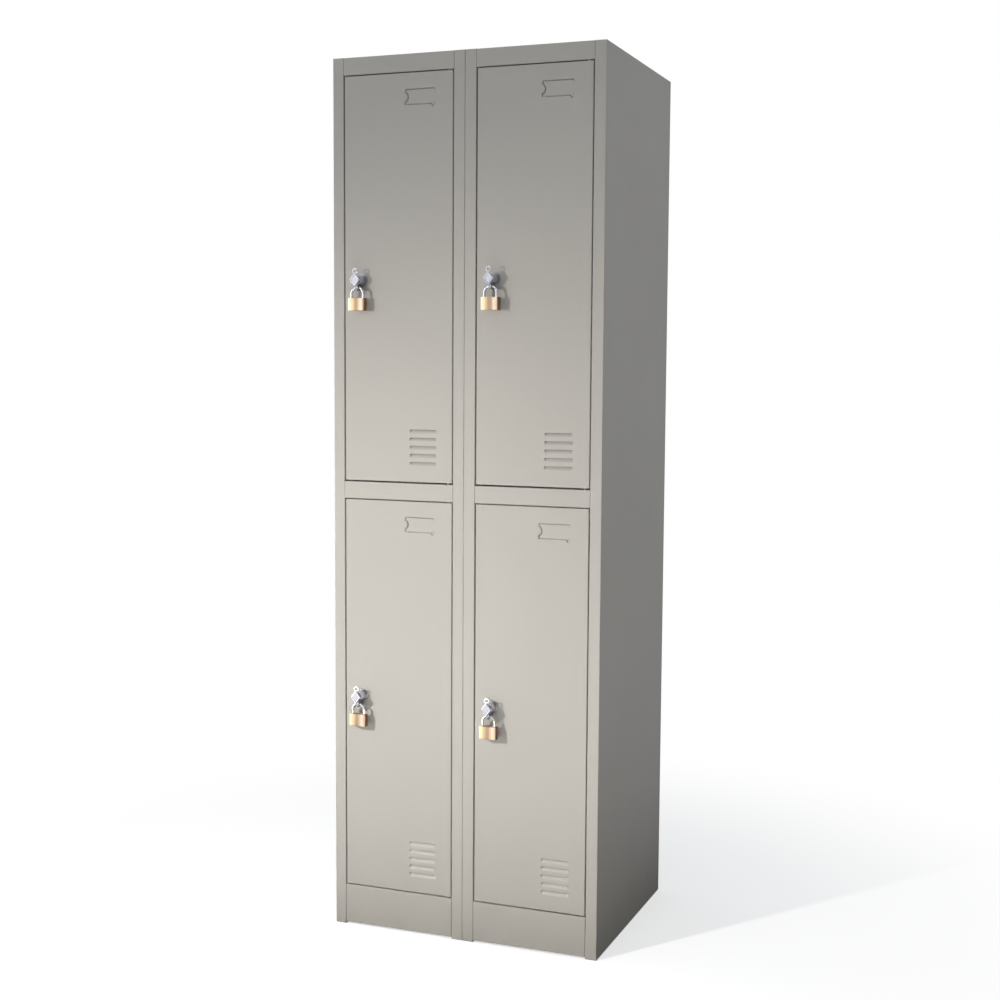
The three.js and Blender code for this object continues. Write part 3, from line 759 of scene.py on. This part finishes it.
# %% Kick plates
KICK_DEPTH, KICK_HEM = 12.0, 6.0
KICK_COLUMNS, KICK_ROWS = 9, 5
for side in SIDES:
    low, high = box_mm(f"{side}_bay_kick_plate")
    inset = HALF + FOLD
    across = lines_of(np.linspace(low[X] + inset, high[X] - inset, KICK_COLUMNS))
    upward = lines_of(np.linspace(low[Z] + inset, high[Z] - inset, KICK_ROWS))
    rim = pan_rim(KICK_DEPTH, KICK_HEM, SHEET, FOLD)
    shell = pan(across, upward, lambda x, z: np.full_like(x, HALF), rim)
    kick = shaped(f"kick_{side}", [moved_by(shell, (0, FRONT, 0))], thickness=SHEET)
    fitted(kick, carcass_coat, "root", "carcass_paint", f"{side}_bay_kick_plate")
print("kick plate:", len(kick.data.polygons), "faces")

# %% [markdown]
# ## Door pressings
#
# Five louvres near the foot of each door let air through. A tool slits the sheet along the
# top of each louvre and pushes the metal below it inwards, deepest at the slit and flush
# again at the foot. Near the top, shallow grooves frame the place for a name card, and a
# curved thumb notch at the left lets the card slide out. All of this is one depth function.
# The slits are real openings: their cells are left out of the grid.

# %% Louvres and card frame
LOUVRES = 5
SLIT_FIRST, SLIT_PITCH = 43.2, 16.9
SLIT_LEFT, SLIT_RIGHT = 150.5, 211.0
LOUVRE_HEIGHT, LOUVRE_DEPTH, LOUVRE_END = 9.5, 4.9, 3.0
FOOT_EASE = 0.12
SLIT_GAP = 0.05
SLITS = SLIT_FIRST + SLIT_PITCH * np.arange(LOUVRES)

GROOVES = [  # start, end, half width, depth
    ((142.0, 807.0), (205.0, 807.0), 1.8, 3.0),
    ((141.6, 807.0), (140.2, 801.0), 2.1, 3.6),
    ((140.5, 783.5), (140.5, 777.0), 2.1, 3.6),
    ((146.0, 776.6), (199.5, 776.6), 1.6, 2.6),
    ((199.5, 776.4), (202.5, 772.0), 2.0, 3.4),
    ((206.6, 806.0), (206.8, 800.0), 1.4, 1.0),
    ((206.4, 779.5), (206.6, 774.0), 1.4, 1.0),
]
NOTCH_CENTRE, NOTCH_RADIUS, NOTCH_SPREAD = (134.6, 792.0), 12.0, math.radians(47)
NOTCH_HALF, NOTCH_DEPTH = 2.3, 3.8


def louvre_depth(x, z):
    """Depth = D * S(u) * E(w). S falls in a straight line from the slit to the foot and eases
    out there; E = sin(w * 90 degrees), with w the distance from an end over the end's length."""
    depth = np.zeros_like(x)
    for slit in SLITS:
        s = np.where(z < slit - SLIT_GAP / 2, 1 - (slit - z) / LOUVRE_HEIGHT, 0).clip(0, 1)
        slope = np.where(s < 2 * FOOT_EASE, s ** 2 / (4 * FOOT_EASE), s - FOOT_EASE) / (1 - FOOT_EASE)
        w = (np.minimum(x - SLIT_LEFT, SLIT_RIGHT - x) / LOUVRE_END).clip(0, 1)
        depth = np.maximum(depth, LOUVRE_DEPTH * slope * np.sin(w * TAU / 4))
    return depth


def groove(distance, half, depth):
    """Depth of a rounded groove at a distance from its middle: a raised cosine."""
    return np.where(distance < half, depth * (1 + np.cos(math.pi * np.minimum(distance / half, 1))) / 2, 0)


def card_depth(x, z):
    """The deepest of the straight grooves and the arc of the thumb notch."""
    depth = np.zeros_like(x)
    for start, end, half, deep in GROOVES:
        run = np.subtract(end, start)
        along = (((x - start[0]) * run[0] + (z - start[1]) * run[1]) / (run @ run)).clip(0, 1)
        distance = np.hypot(x - start[0] - along * run[0], z - start[1] - along * run[1])
        depth = np.maximum(depth, groove(distance, half, deep))
    dx, dz = x - NOTCH_CENTRE[0], z - NOTCH_CENTRE[1]
    turned = np.arctan2(dz, dx).clip(-NOTCH_SPREAD, NOTCH_SPREAD)
    distance = np.hypot(dx - NOTCH_RADIUS * np.cos(turned), dz - NOTCH_RADIUS * np.sin(turned))
    return np.maximum(depth, groove(distance, NOTCH_HALF, NOTCH_DEPTH))


# %% [markdown]
# ## The doors
#
# One door is worked out in its own frame, from its lower left corner, and copied to the four
# places. The lock's round hole is made by bending the grid: square rings of points about the
# lock's centre are drawn in to circles, and the cells inside the smallest ring are left out.

# %% Doors
LOCK_X, LOCK_Z = 39.5, DOOR_HEIGHT / 2
BARREL_HOLE = 9.6
DOOR_FOLD = 1.3
DOOR_SHARP = 42          # edges that turn by more than this many degrees stay crisp
RINGS = np.concatenate([np.linspace(-1, 1, 9), [-2, -1.66, -1.33, 1.33, 1.66, 2]])
FINE = 0.6               # grid spacing where a pressing needs it
PLAIN_X = (75, 97, 118, 226, 237)
PLAIN_Z = (15, 27, 150, 200, 250, 300, 350, 480, 540, 600, 660, 720, 750, 825)
PRESSED_X, CARD_Z = (137.6, 211.6), (769.4, 811.0)
LOUVRE_LINES = 12


def round_hole(x, z):
    """Moves points near the lock: with m the larger and d the true distance from its centre, a
    point moves to distance m at one hole radius, and stays put from two radii on."""
    dx, dz = x - LOCK_X, z - LOCK_Z
    m = np.maximum(np.abs(dx), np.abs(dz))
    d = np.maximum(np.hypot(dx, dz), 1e-9)
    share = (2 - m / BARREL_HOLE).clip(0, 1)
    factor = 1 + share * (m / d - 1)
    return LOCK_X + dx * factor, LOCK_Z + dz * factor


def door_metal(x, z):
    """False in the lock's hole and in the slits."""
    hole = np.maximum(np.abs(x - LOCK_X), np.abs(z - LOCK_Z)) < BARREL_HOLE
    slit = np.zeros(x.shape, bool)
    for level in SLITS:
        slit |= (z < level) & (z > level - SLIT_GAP) & (x > SLIT_LEFT) & (x < SLIT_RIGHT)
    return ~hole & ~slit


def door_shell():
    """A pan whose grid lines crowd round the lock, the louvres and the card frame."""
    inset = DOOR_SHEET / 2 + DOOR_FOLD
    about_lock = RINGS * BARREL_HOLE
    across = lines_of(inset, DOOR_WIDTH - inset, LOCK_X + about_lock, PLAIN_X,
                      np.arange(*PRESSED_X, FINE), (SLIT_LEFT, SLIT_RIGHT))
    louvre_z = [SLITS - LOUVRE_HEIGHT * share for share in np.linspace(0, 1, LOUVRE_LINES)]
    upward = lines_of(inset, DOOR_HEIGHT - inset, LOCK_Z + about_lock, PLAIN_Z,
                      np.arange(*CARD_Z, FINE), *louvre_z, SLITS - SLIT_GAP)

    def sink(x, z):
        return DOOR_SHEET / 2 + louvre_depth(x, z) + card_depth(x, z)

    rim = pan_rim(DOOR_DEPTH, HEM, DOOR_SHEET, DOOR_FOLD)
    return pan(across, upward, sink, rim, keep=door_metal, bend=round_hole)


door_master = shaped("door_master", [door_shell()], thickness=DOOR_SHEET, sharp=DOOR_SHARP)
print("one door:", len(door_master.data.polygons), "faces")

for place in PLACES:
    low, high = box_mm(f"door_panel_{place}")
    door = placed_copy(f"door_{place}", door_master, low)
    fitted(door, door_coat, f"door_{place}", "door_paint", f"door_panel_{place}")
bpy.data.objects.remove(door_master)

# %% [markdown]
# ## Behind the door
#
# A hat-shaped channel is spot welded to the inside of the door so that the thin sheet doesn't
# drum. Each door turns on two steel pins with flat heads, one up into the rail and one down.

# %% Stiffeners and pins
BRIM = 12.4              # width of each foot of the hat
PIN_RADIUS, PIN_HEAD_RADIUS, PIN_HEAD = 2.5, 4.2, 1.6
PIN_SETBACK = 0.4        # the shank ends this far inside the frame's box
PIN_EASE = 0.5

for place in PLACES:
    low, high = box_mm(f"door_stiffener_{place}")
    foot_y, crown_y = low[Y] + HALF, high[Y] - HALF
    hat = [
        (low[X], foot_y), (low[X] + BRIM, foot_y), (low[X] + BRIM, crown_y),
        (high[X] - BRIM, crown_y), (high[X] - BRIM, foot_y), (high[X], foot_y),
    ]
    shell = sheet(folded(hat), np.linspace(low[Z], high[Z], 3), (X, Y, Z))
    stiffener = shaped(f"stiffener_{place}", [shell], thickness=SHEET)
    fitted(stiffener, door_coat, f"door_{place}", "door_paint", f"door_stiffener_{place}")
    for end in ("top", "bottom"):
        node = f"pivot_pin_{end}_{place}"
        low, high = box_mm(node)
        centre = ((low[X] + high[X]) / 2, (low[Y] + high[Y]) / 2)
        head_at = (low[Z], low[Z] + PIN_HEAD) if end == "top" else (high[Z] - PIN_HEAD, high[Z])
        shells = [
            round_bar(PIN_RADIUS, low[Z] + PIN_SETBACK, high[Z] - PIN_SETBACK, centre, (X, Y, Z),
                      edge=PIN_EASE, steps=8),
            round_bar(PIN_HEAD_RADIUS, *head_at, centre, (X, Y, Z), edge=PIN_EASE, steps=8),
        ]
        pin = shaped(f"pin_{end}_{place}", shells)
        fitted(pin, zinc, f"door_{place}", "zinc_plated_steel", node)
print("pin:", len(pin.data.polygons), "faces")

# %% [markdown]
# ## The lock
#
# The housing is a round flange against the door with a threaded barrel through it, clamped by
# a hexagon nut from behind. A tongue below the barrel carries the padlock. The knob in front
# has a bevelled diamond face, a plate with an eye above and below, and a spindle that turns
# the cam behind the door. Everything is drawn about the lock's centre and copied four times.

# %% Lock parts
# Depths are counted from the door's face, and are negative in front of it.
REACH = 34.0                                    # the knob's very front
FACE, NECK = (9.0, 10.8), (6.4, 7.9)            # half width and half height of a diamond
NECK_EASE, NECK_FRONT, NECK_BACK = 1.5, -30.2, -24.6
LUG_FRONT, LUG_BACK, LUG_Z = -30.4, -27.0, 17.8
LUG_RADIUS, LUG_SLOT = 6.3, (1.8, 2.9)          # slot: half its run, radius of its ends
LUG_BAR, CUT_ROOM = 3.4, 3.0
HUB_RADIUS, HUB_FRONT, HUB_BACK = 9.8, -26.0, -6.2
HUB_ROOM, HUB_ROOM_BACK, HUB_ROOM_DEPTH = 10.5, -5.4, 8.0
FLANGE_DISC = (13.0, -2.6, -0.3, 0.9)           # radius, front, back, edge
COLLAR_DISC = (10.6, -5.2, -2.2, 0.7)
BARREL, BARREL_START, BARREL_END, BARREL_TIP = 9.0, -1.0, 14.0, 8.4
SPINDLE, SPINDLE_FRONT, SPINDLE_END, SPINDLE_ROOM = 4.0, -8.0, 19.0, 0.5
THREAD_PITCH, THREAD_DEPTH, THREAD_RUN = 1.5, 0.45, (1.0, 13.0)
SHACKLE_Y, SHACKLE_TOP = -19.5, -15.8
TONGUE_FRONT, TONGUE_BACK, TONGUE_FOOT, TONGUE_HEAD = SHACKLE_Y - 2.1, -4.6, -19.3, -11.2
TONGUE_EASE, TONGUE_HALF = 3.2, 3.0
EYE, EYE_HALF = 3.5, 6.0
CAM_LENGTH, CAM_RADIUS, CAM_FRONT, CAM_BACK = 38.0, 7.0, 19.3, 21.3
NUT_CORNER, NUT_FRONT, NUT_BACK, NUT_EASE = 12.7, 1.3, 5.3, 0.8
FACE_AXES = (X, Z, Y)


def diamond(half_width, half_height):
    """The four tips of a diamond, in turning order."""
    return [(0, -half_height), (half_width, 0), (0, half_height), (-half_width, 0)]


def eased_in(profile, tip=0.12):
    """Rows for the diamond that never fold over at its tips. Where a row's offset is below the
    tip radius the core shrinks instead: scale = 1 - (tip - offset) / (w h / hypot(w, h))."""
    apothem = FACE[0] * FACE[1] / math.hypot(*FACE)
    return [(max(offset, tip), height - REACH, 1 - max(tip - offset, 0) / apothem)
            for offset, height in profile]


def hexagon(radius):
    """The six corners of a regular hexagon."""
    return [(radius * math.cos(a), radius * math.sin(a)) for a in np.arange(6) * TAU / 6]


def thread_profile(outer, depth, low, high):
    """Offset = outer less a triangle wave of the thread's depth, along the barrel."""
    count = int((high - low) / THREAD_PITCH)
    step = np.arange(2 * count + 1)
    return list(zip(outer - depth * (step % 2), low + step * THREAD_PITCH / 2))


def housing_shells():
    """Flange, collar and threaded barrel about the spindle, and the tongue with the eye."""
    hole = SPINDLE + SPINDLE_ROOM
    discs = [carried([(0, 0)], washer(hole, *disc, 4), FACE_AXES, 12, ring=True)
             for disc in (FLANGE_DISC, COLLAR_DISC)]
    thread = thread_profile(BARREL, THREAD_DEPTH, *THREAD_RUN)
    wall = [(BARREL, BARREL_START), *thread, (BARREL_TIP, BARREL_END), (hole, BARREL_END),
            (hole, BARREL_START)]
    barrel = carried([(0, 0)], wall, FACE_AXES, 12, ring=True)
    corners = [(TONGUE_FRONT, TONGUE_FOOT), (TONGUE_BACK, TONGUE_FOOT),
               (TONGUE_BACK, TONGUE_HEAD), (TONGUE_FRONT, TONGUE_HEAD)]
    tongue = carried(corners, rounded(TONGUE_EASE, -TONGUE_HALF, TONGUE_HALF, 0.8), (Y, Z, X), 5)
    return [*discs, barrel, tongue]


eye_cutter = round_bar(EYE, -EYE_HALF, EYE_HALF, (SHACKLE_Y, SHACKLE_TOP), (Y, Z, X), 0.1, 6)
hub_cutter = round_bar(HUB_ROOM, SHACKLE_Y - HUB_ROOM_DEPTH, HUB_ROOM_BACK, (0, 0), FACE_AXES, 0.1, 12)


def knob_shells():
    """Diamond with a raised bright rim, its neck, two lugs on a bar, the hub and the spindle.
    The rim's profile is (outward from the core, height behind the knob's very front)."""
    rim = [(-1.0, 0.8), (-0.5, 0.8), (-0.2, 0.15), (0.1, 0.0), (1.1, 0.0), (1.5, 0.2),
           (2.5, 1.4), (2.5, 3.0), (1.8, 3.8), (0.8, 4.4)]
    return [
        carried(diamond(*FACE), eased_in(rim), FACE_AXES, 5),
        carried(diamond(*NECK), rounded(NECK_EASE, NECK_FRONT, NECK_BACK, 0.3), FACE_AXES, 5),
        carried([(0, -LUG_Z), (0, LUG_Z)], rounded(LUG_BAR, LUG_FRONT, LUG_BACK, 0.8), FACE_AXES, 8),
        *(round_bar(LUG_RADIUS, LUG_FRONT, LUG_BACK, (0, way * LUG_Z), FACE_AXES, 0.9, 10)
          for way in (-1, 1)),
        round_bar(HUB_RADIUS, HUB_FRONT, HUB_BACK, (0, 0), FACE_AXES, edge=0.8, steps=11),
        round_bar(SPINDLE, SPINDLE_FRONT, SPINDLE_END, (0, 0), FACE_AXES, edge=0.4, steps=7),
    ]


def lug_cutter(way):
    """A level slot through a lug."""
    half_run, radius = LUG_SLOT
    slot = [(-half_run, way * LUG_Z), (half_run, way * LUG_Z)]
    wall = rounded(radius, LUG_FRONT - CUT_ROOM, LUG_BACK + CUT_ROOM, 0.1, 1)
    return carried(slot, wall, FACE_AXES, 7)


def face_shells():
    """A thin satin plate that lies in the knob's recess."""
    plate = [(-2.0, 0.4), (-0.9, 0.4), (-0.6, 0.5), (-0.45, 0.7), (-0.4, 0.9)]
    return [carried(diamond(*FACE), eased_in(plate), FACE_AXES, 5)]


def cam_shells():
    """Arm with a round end, and the screw and disc that hold it on the spindle."""
    plate = carried([(0, -CAM_LENGTH), (0, 0)], rounded(CAM_RADIUS, CAM_FRONT, CAM_BACK, 0.5),
                    FACE_AXES, 10)
    screw = carried(hexagon(3.4), rounded(0.8, 21.2, 23.8, 0.5), FACE_AXES, 3)
    disc = round_bar(6.0, 21.1, 21.9, (0, 0), FACE_AXES, edge=0.2, steps=8)
    return [plate, screw, disc]


def nut_shells():
    """A hexagon with eased corners, from the door's back outwards."""
    return [carried(hexagon(NUT_CORNER), rounded(NUT_EASE, NUT_FRONT, NUT_BACK, 0.5), FACE_AXES, 3)]


nut_cutter = round_bar(BARREL + CLEAR, 0, 7, (0, 0), FACE_AXES, edge=0.1, steps=12)

# %% [markdown]
# ## The padlock
#
# A bar of brass with round corners, two bores from above for the shackle's legs, and a round
# plug with a keyway underneath. The shackle is one bent steel rod: two straight legs and half
# a ring between them.

# %% Padlock parts
WIRE, WIRE_ROOM = 2.75, 0.45
BEND = 13.5              # radius of the shackle's half ring, to the wire's centre
PADLOCK_TOP = -37.5      # below the lock's centre
PADLOCK_HEIGHT = 26.0
PADLOCK_HALF = (19.75, 6.5)
CORNER = 3.2
STRAIGHT, HEEL_DEPTH, TOE_DEPTH, BORE_DEPTH = 4.0, 17.0, 6.0, 18.0
PLUG_GAP, PLUG_DEPTH = (4.3, 4.8), 1.2
KEYWAY_HALF, KEYWAY_RADIUS, KEYWAY_DEPTH = 2.2, 0.7, 6.0


def shackle_shells():
    """Path: up the heel leg, round the half ring about (0, top - bend), down the toe leg."""
    a = np.linspace(math.pi, 0, 25)
    bend_z = SHACKLE_TOP - BEND
    ring = np.stack([BEND * np.cos(a), bend_z + BEND * np.sin(a)], axis=1)
    heel = [(-BEND, PADLOCK_TOP - HEEL_DEPTH), (-BEND, PADLOCK_TOP - STRAIGHT)]
    toe = [(BEND, PADLOCK_TOP - STRAIGHT), (BEND, PADLOCK_TOP - TOE_DEPTH)]
    return [moved_by(swept_wire([*heel, *ring, *toe], WIRE, 16), (0, SHACKLE_Y, 0))]


def padlock_shells():
    """A block with round corners, in the plane where the shackle hangs."""
    across, deep = (half - CORNER for half in PADLOCK_HALF)
    centres = [(-across, -deep), (across, -deep), (across, deep), (-across, deep)]
    sides = rounded(CORNER, PADLOCK_TOP - PADLOCK_HEIGHT, PADLOCK_TOP, 0.8, 4)
    return [moved_by(carried(centres, sides, (X, Y, Z), 6), (0, SHACKLE_Y, 0))]


foot = PADLOCK_TOP - PADLOCK_HEIGHT
bores = [round_bar(WIRE + WIRE_ROOM, PADLOCK_TOP - BORE_DEPTH, PADLOCK_TOP + 2, (x, SHACKLE_Y),
                   (X, Y, Z), 0.1, 7) for x in (-BEND, BEND)]
plug_gap = carried([(0, 0)], washer(*PLUG_GAP, foot - 1, foot + PLUG_DEPTH, 0.05, 1), (X, Y, Z), 8,
                   ring=True)
plug_gap = moved_by(plug_gap, (0, SHACKLE_Y, 0))
keyway = carried([(-KEYWAY_HALF, SHACKLE_Y), (KEYWAY_HALF, SHACKLE_Y)],
                 rounded(KEYWAY_RADIUS, foot - 1, foot + KEYWAY_DEPTH, 0.1, 1), (X, Y, Z), 4)

# %% [markdown]
# ## Four locks
#
# Each master is shaped once, with its cuts, and then copied to the four lock centres. Each
# copy rides on the body that its node of the frame rides on, so that knobs turn, shackles
# swing and padlocks come away.

# %% Copy the locks
LOCK_SHARP = 38
lock_masters = [  # piece, shells, cutters, finish, slot, node, body
    ("lock_case", housing_shells(), [eye_cutter, hub_cutter], cast_chrome, "lock_chrome",
     "lock_housing", "door"),
    ("knob_turn", knob_shells(), [lug_cutter(-1), lug_cutter(1)], chrome, "lock_chrome",
     "lock_knob", "knob"),
    ("knob_face", face_shells(), [], satin_chrome, "lock_chrome", None, "knob"),
    ("latch_cam", cam_shells(), [], zinc, "zinc_plated_steel", "lock_cam", "knob"),
    ("clamp_nut", nut_shells(), [nut_cutter], zinc, "zinc_plated_steel", "lock_nut", "door"),
    ("shackle_rod", shackle_shells(), [], steel_chrome, "shackle_chrome", "padlock_shackle", "shackle"),
    ("padlock_bar", padlock_shells(), [*bores, plug_gap, keyway], brass, "padlock_brass",
     "padlock_body", "padlock"),
]
for name, shells, cutters, finish, slot, node, body in lock_masters:
    master = shaped(name + "_master", shells, cutters=cutters, sharp=LOCK_SHARP)
    if finish is brass:
        mark_across(master)
    print(name, len(master.data.polygons), "faces")
    for place in PLACES:
        door_corner = box_mm(f"door_panel_{place}")[0]
        centre = door_corner + np.array([LOCK_X, 0, LOCK_Z])
        nodes = [f"{node}_{place}"] if node else []
        piece = placed_copy(f"{name}_{place}", master, centre)
        fitted(piece, finish, f"{body}_{place}", slot, *nodes)
    bpy.data.objects.remove(master)

# %% [markdown]
# ## Rails and bolts
#
# A plain tube runs across each compartment for coat hangers. Two bolts hold the bays together
# through their inner walls, with a hexagon head on one side and a nut on the other.

# %% Hanging rails and bolts
RAIL_WALL = 1.2
BOLT_RADIUS, BOLT_CORNER, BOLT_EASE = 3.1, 4.8, 0.7
BOLT_HEAD, BOLT_TAIL, BOLT_NUT = 4.0, 2.0, 5.0

for row in ("upper", "lower"):
    for side in SIDES:
        node = f"coat_rail_{row}_{side}"
        low, high = box_mm(node)
        radius = (high[Z] - low[Z]) / 2
        centre = ((low[Y] + high[Y]) / 2, (low[Z] + high[Z]) / 2)
        tube = carried([(0, 0)], washer(radius - RAIL_WALL, radius, low[X], high[X], 0.3), (Y, Z, X),
                       9, ring=True, middle=centre)
        rail = shaped(f"hanging_rail_{row}_{side}", [tube])
        fitted(rail, zinc, "root", "zinc_plated_steel", node)
    node = f"bay_bolt_{row}"
    low, high = box_mm(node)
    centre = ((low[Y] + high[Y]) / 2, (low[Z] + high[Z]) / 2)
    head = rounded(BOLT_EASE, low[X], low[X] + BOLT_HEAD, 0.5)
    nut = rounded(BOLT_EASE, high[X] - BOLT_TAIL - BOLT_NUT, high[X] - BOLT_TAIL, 0.5)
    shells = [
        round_bar(BOLT_RADIUS, low[X] + 1, high[X], centre, (Y, Z, X), edge=0.5, steps=6),
        carried(hexagon(BOLT_CORNER), head, (Y, Z, X), 3, middle=centre),
        carried(hexagon(BOLT_CORNER), nut, (Y, Z, X), 3, middle=centre),
    ]
    fitted(shaped(f"joining_bolt_{row}", shells), zinc, "root", "zinc_plated_steel", node)
print("rail:", len(rail.data.polygons), "faces")

# %% [markdown]
# ## The flat sheets of the frame
#
# Back panels and floors are flat sheets with no folds in sight, so the frame's own shapes
# are right and only need their finish.

# %% Finish the frame's own sheets
for side in SIDES:
    for sheet_name in ("back_panel", "floor_panel"):
        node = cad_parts[f"{side}_bay_{sheet_name}"]
        node.data.materials.clear()
        node.data.materials.append(carcass_coat)
print("frame sheets finished")

# %% [markdown]
# ## Floor and light
#
# The floor is plain and pale, and fades into a white surround. The main lamp stands in front
# and to the left, a little above the middle, and points down at the foot of the cabinet, so
# that the fronts are brightest below the middle and the locks throw short shadows to the
# right. It lights only what is matt, and gloss has lamps of its own, because the small bright
# lamp would burn out the brass and the chrome. No real lamp can be split like that: it is a
# convenience of rendering. The surround fills the rest softly.

# %% Floor
FLOOR_RADIUS, FLOOR_TOP, FLOOR_FOOT = 9000.0, -0.5, -4.0   # mm
FADE = (0.45, 1.5)            # metres from the middle: shadows show inside, plain white outside
# Painted shadow of the cabinet: to light, the floor is darker close by and paler farther out.
BOUNCE = (0.45, 1.3)          # the floor throws little light up close by, and more farther out
BOUNCE_SHARE = (0.05, 0.75)
FLOOR_GREY, FLOOR_GLOW = (0.7, 0.7, 0.7, 1), 0.55
WHITE = (1, 1, 1, 1)


def pale_floor():
    """A large disc whose middle takes shadows and whose rim is as white as the surround."""
    side = [(0.0, FLOOR_TOP), (FLOOR_RADIUS, FLOOR_TOP), (FLOOR_RADIUS, FLOOR_FOOT), (0.0, FLOOR_FOOT)]
    shell = carried([(0, 0)], side, (X, Y, Z), 16)
    floor = shaped("floor", [shell])
    material = bpy.data.materials.new("pale_floor")
    material.use_nodes = True
    tree = material.node_tree
    tree.nodes.clear()
    place = add(tree, "ShaderNodeTexCoord").outputs["Object"]
    reach = add(tree, "ShaderNodeVectorMath", {0: place}, operation="LENGTH")
    fade = add(tree, "ShaderNodeMapRange",
               {"Value": reach.outputs["Value"], "From Min": FADE[0], "From Max": FADE[1]},
               interpolation_type="SMOOTHSTEP")
    matt = add(tree, "ShaderNodeBsdfDiffuse", {"Color": FLOOR_GREY})
    glow = add(tree, "ShaderNodeEmission", {"Color": WHITE, "Strength": FLOOR_GLOW})
    white = add(tree, "ShaderNodeEmission", {"Color": WHITE, "Strength": 1.0})
    both = add(tree, "ShaderNodeAddShader", {0: matt.outputs[0], 1: glow.outputs[0]})
    seen = add(tree, "ShaderNodeMixShader", {0: fade.outputs[0], 1: both.outputs[0], 2: white.outputs[0]})
    # Painted shadow: to light, though not to the eye, the floor is darker close to the cabinet, as if the
    # cabinet's shadow lay there.
    painted_cabinet_shadow = add(tree, "ShaderNodeMapRange",
               {"Value": reach.outputs["Value"], "From Min": BOUNCE[0], "From Max": BOUNCE[1],
                "To Min": BOUNCE_SHARE[0], "To Max": BOUNCE_SHARE[1]})
    dull = add(tree, "ShaderNodeBsdfDiffuse", {"Color": painted_cabinet_shadow.outputs[0]})
    path = add(tree, "ShaderNodeLightPath")
    ends = add(tree, "ShaderNodeMixShader",
               {0: path.outputs["Is Camera Ray"], 1: dull.outputs[0], 2: seen.outputs[0]})
    add(tree, "ShaderNodeOutputMaterial", {"Surface": ends.outputs[0]})
    floor.data.materials.append(material)
    return floor


pale_floor()


# %% Surround and lamps
def surround(fill, strength):
    """White to the eye, and a weaker, slightly cool fill as light."""
    world = bpy.data.worlds.new("surround")
    world.use_nodes = True
    tree = world.node_tree
    tree.nodes.clear()
    path = add(tree, "ShaderNodeLightPath")
    white = add(tree, "ShaderNodeBackground", {"Color": WHITE, "Strength": 1.0})
    soft = add(tree, "ShaderNodeBackground", {"Color": fill, "Strength": strength})
    both = add(tree, "ShaderNodeMixShader",
               {0: path.outputs["Is Camera Ray"], 1: soft.outputs[0], 2: white.outputs[0]})
    add(tree, "ShaderNodeOutputWorld", {"Surface": both.outputs[0]})
    bpy.context.scene.world = world


def aimed(name, kind, place, target, energy, colour, **settings):
    """A lamp at a place, turned so that it points at a target."""
    data = bpy.data.lights.new(name, kind)
    data.energy = energy
    data.color = colour
    for key, value in settings.items():
        setattr(data, key, value)
    lamp = bpy.data.objects.new(name, data)
    lamp.visible_camera = False
    bpy.context.scene.collection.objects.link(lamp)
    lamp.location = place
    lamp.rotation_euler = (Vector(target) - Vector(place)).to_track_quat("-Z", "Y").to_euler()
    return lamp


COOL, WARM, NEUTRAL = (0.97, 0.98, 1.0), (1.0, 0.98, 0.96), (1.0, 1.0, 1.0)
SUN, HIGH_WARM, LOW_WARM = (1.0, 0.97, 0.945), (1.0, 0.98, 0.98), (1.0, 0.97, 0.94)
KEY_PLACE, KEY_TARGET = (-0.95, -1.95, 1.35), (0.22, -0.2, -0.5)
CONE = dict(spot_size=math.radians(114), spot_blend=1.0, shadow_soft_size=0.04)
LAMPS = [  # name, kind, place, target, watts, colour, settings, what it lights
    ("key", "SPOT", KEY_PLACE, KEY_TARGET, 124.0, SUN, CONE, "matt"),
    ("key_glint", "SPOT", KEY_PLACE, KEY_TARGET, 20.0, WARM, CONE, "gloss"),
    ("high_panel", "AREA", (-1.45, -2.7, 1.8), (-0.1, -0.2, 1.6), 1.4, HIGH_WARM, dict(size=1.2), "both"),
    ("low_panel", "AREA", (0.2, -1.5, 0.12), (0.16, -0.2, 0.1), 4.8, LOW_WARM, dict(size=0.5), "both"),
    ("low_glow", "AREA", (-1.0, -2.0, 0.12), (-0.1, -0.2, 0.4), 8.0, WARM, dict(size=0.9), "gloss"),
    ("sheen_panel", "AREA", (-2.2, -3.8, 3.4), (0.0, -0.2, 0.6), 55.0, COOL, dict(size=3.0), "gloss"),
    ("edge_panel", "AREA", (-3.2, -0.6, 1.2), (0.0, -0.2, 0.9), 85.0, NEUTRAL, dict(size=3.0), "gloss"),
]

surround((0.93, 0.96, 1.0, 1), 0.45)
for name, kind, place, target, watts, colour, settings, lights in LAMPS:
    lamp = aimed(name, kind, place, target, watts, colour, **settings)
    lamp.visible_glossy = lights != "matt"
    lamp.visible_diffuse = lights != "gloss"
bpy.context.scene.view_settings.view_transform = "Standard"
print(len(LAMPS), "lamps ready")
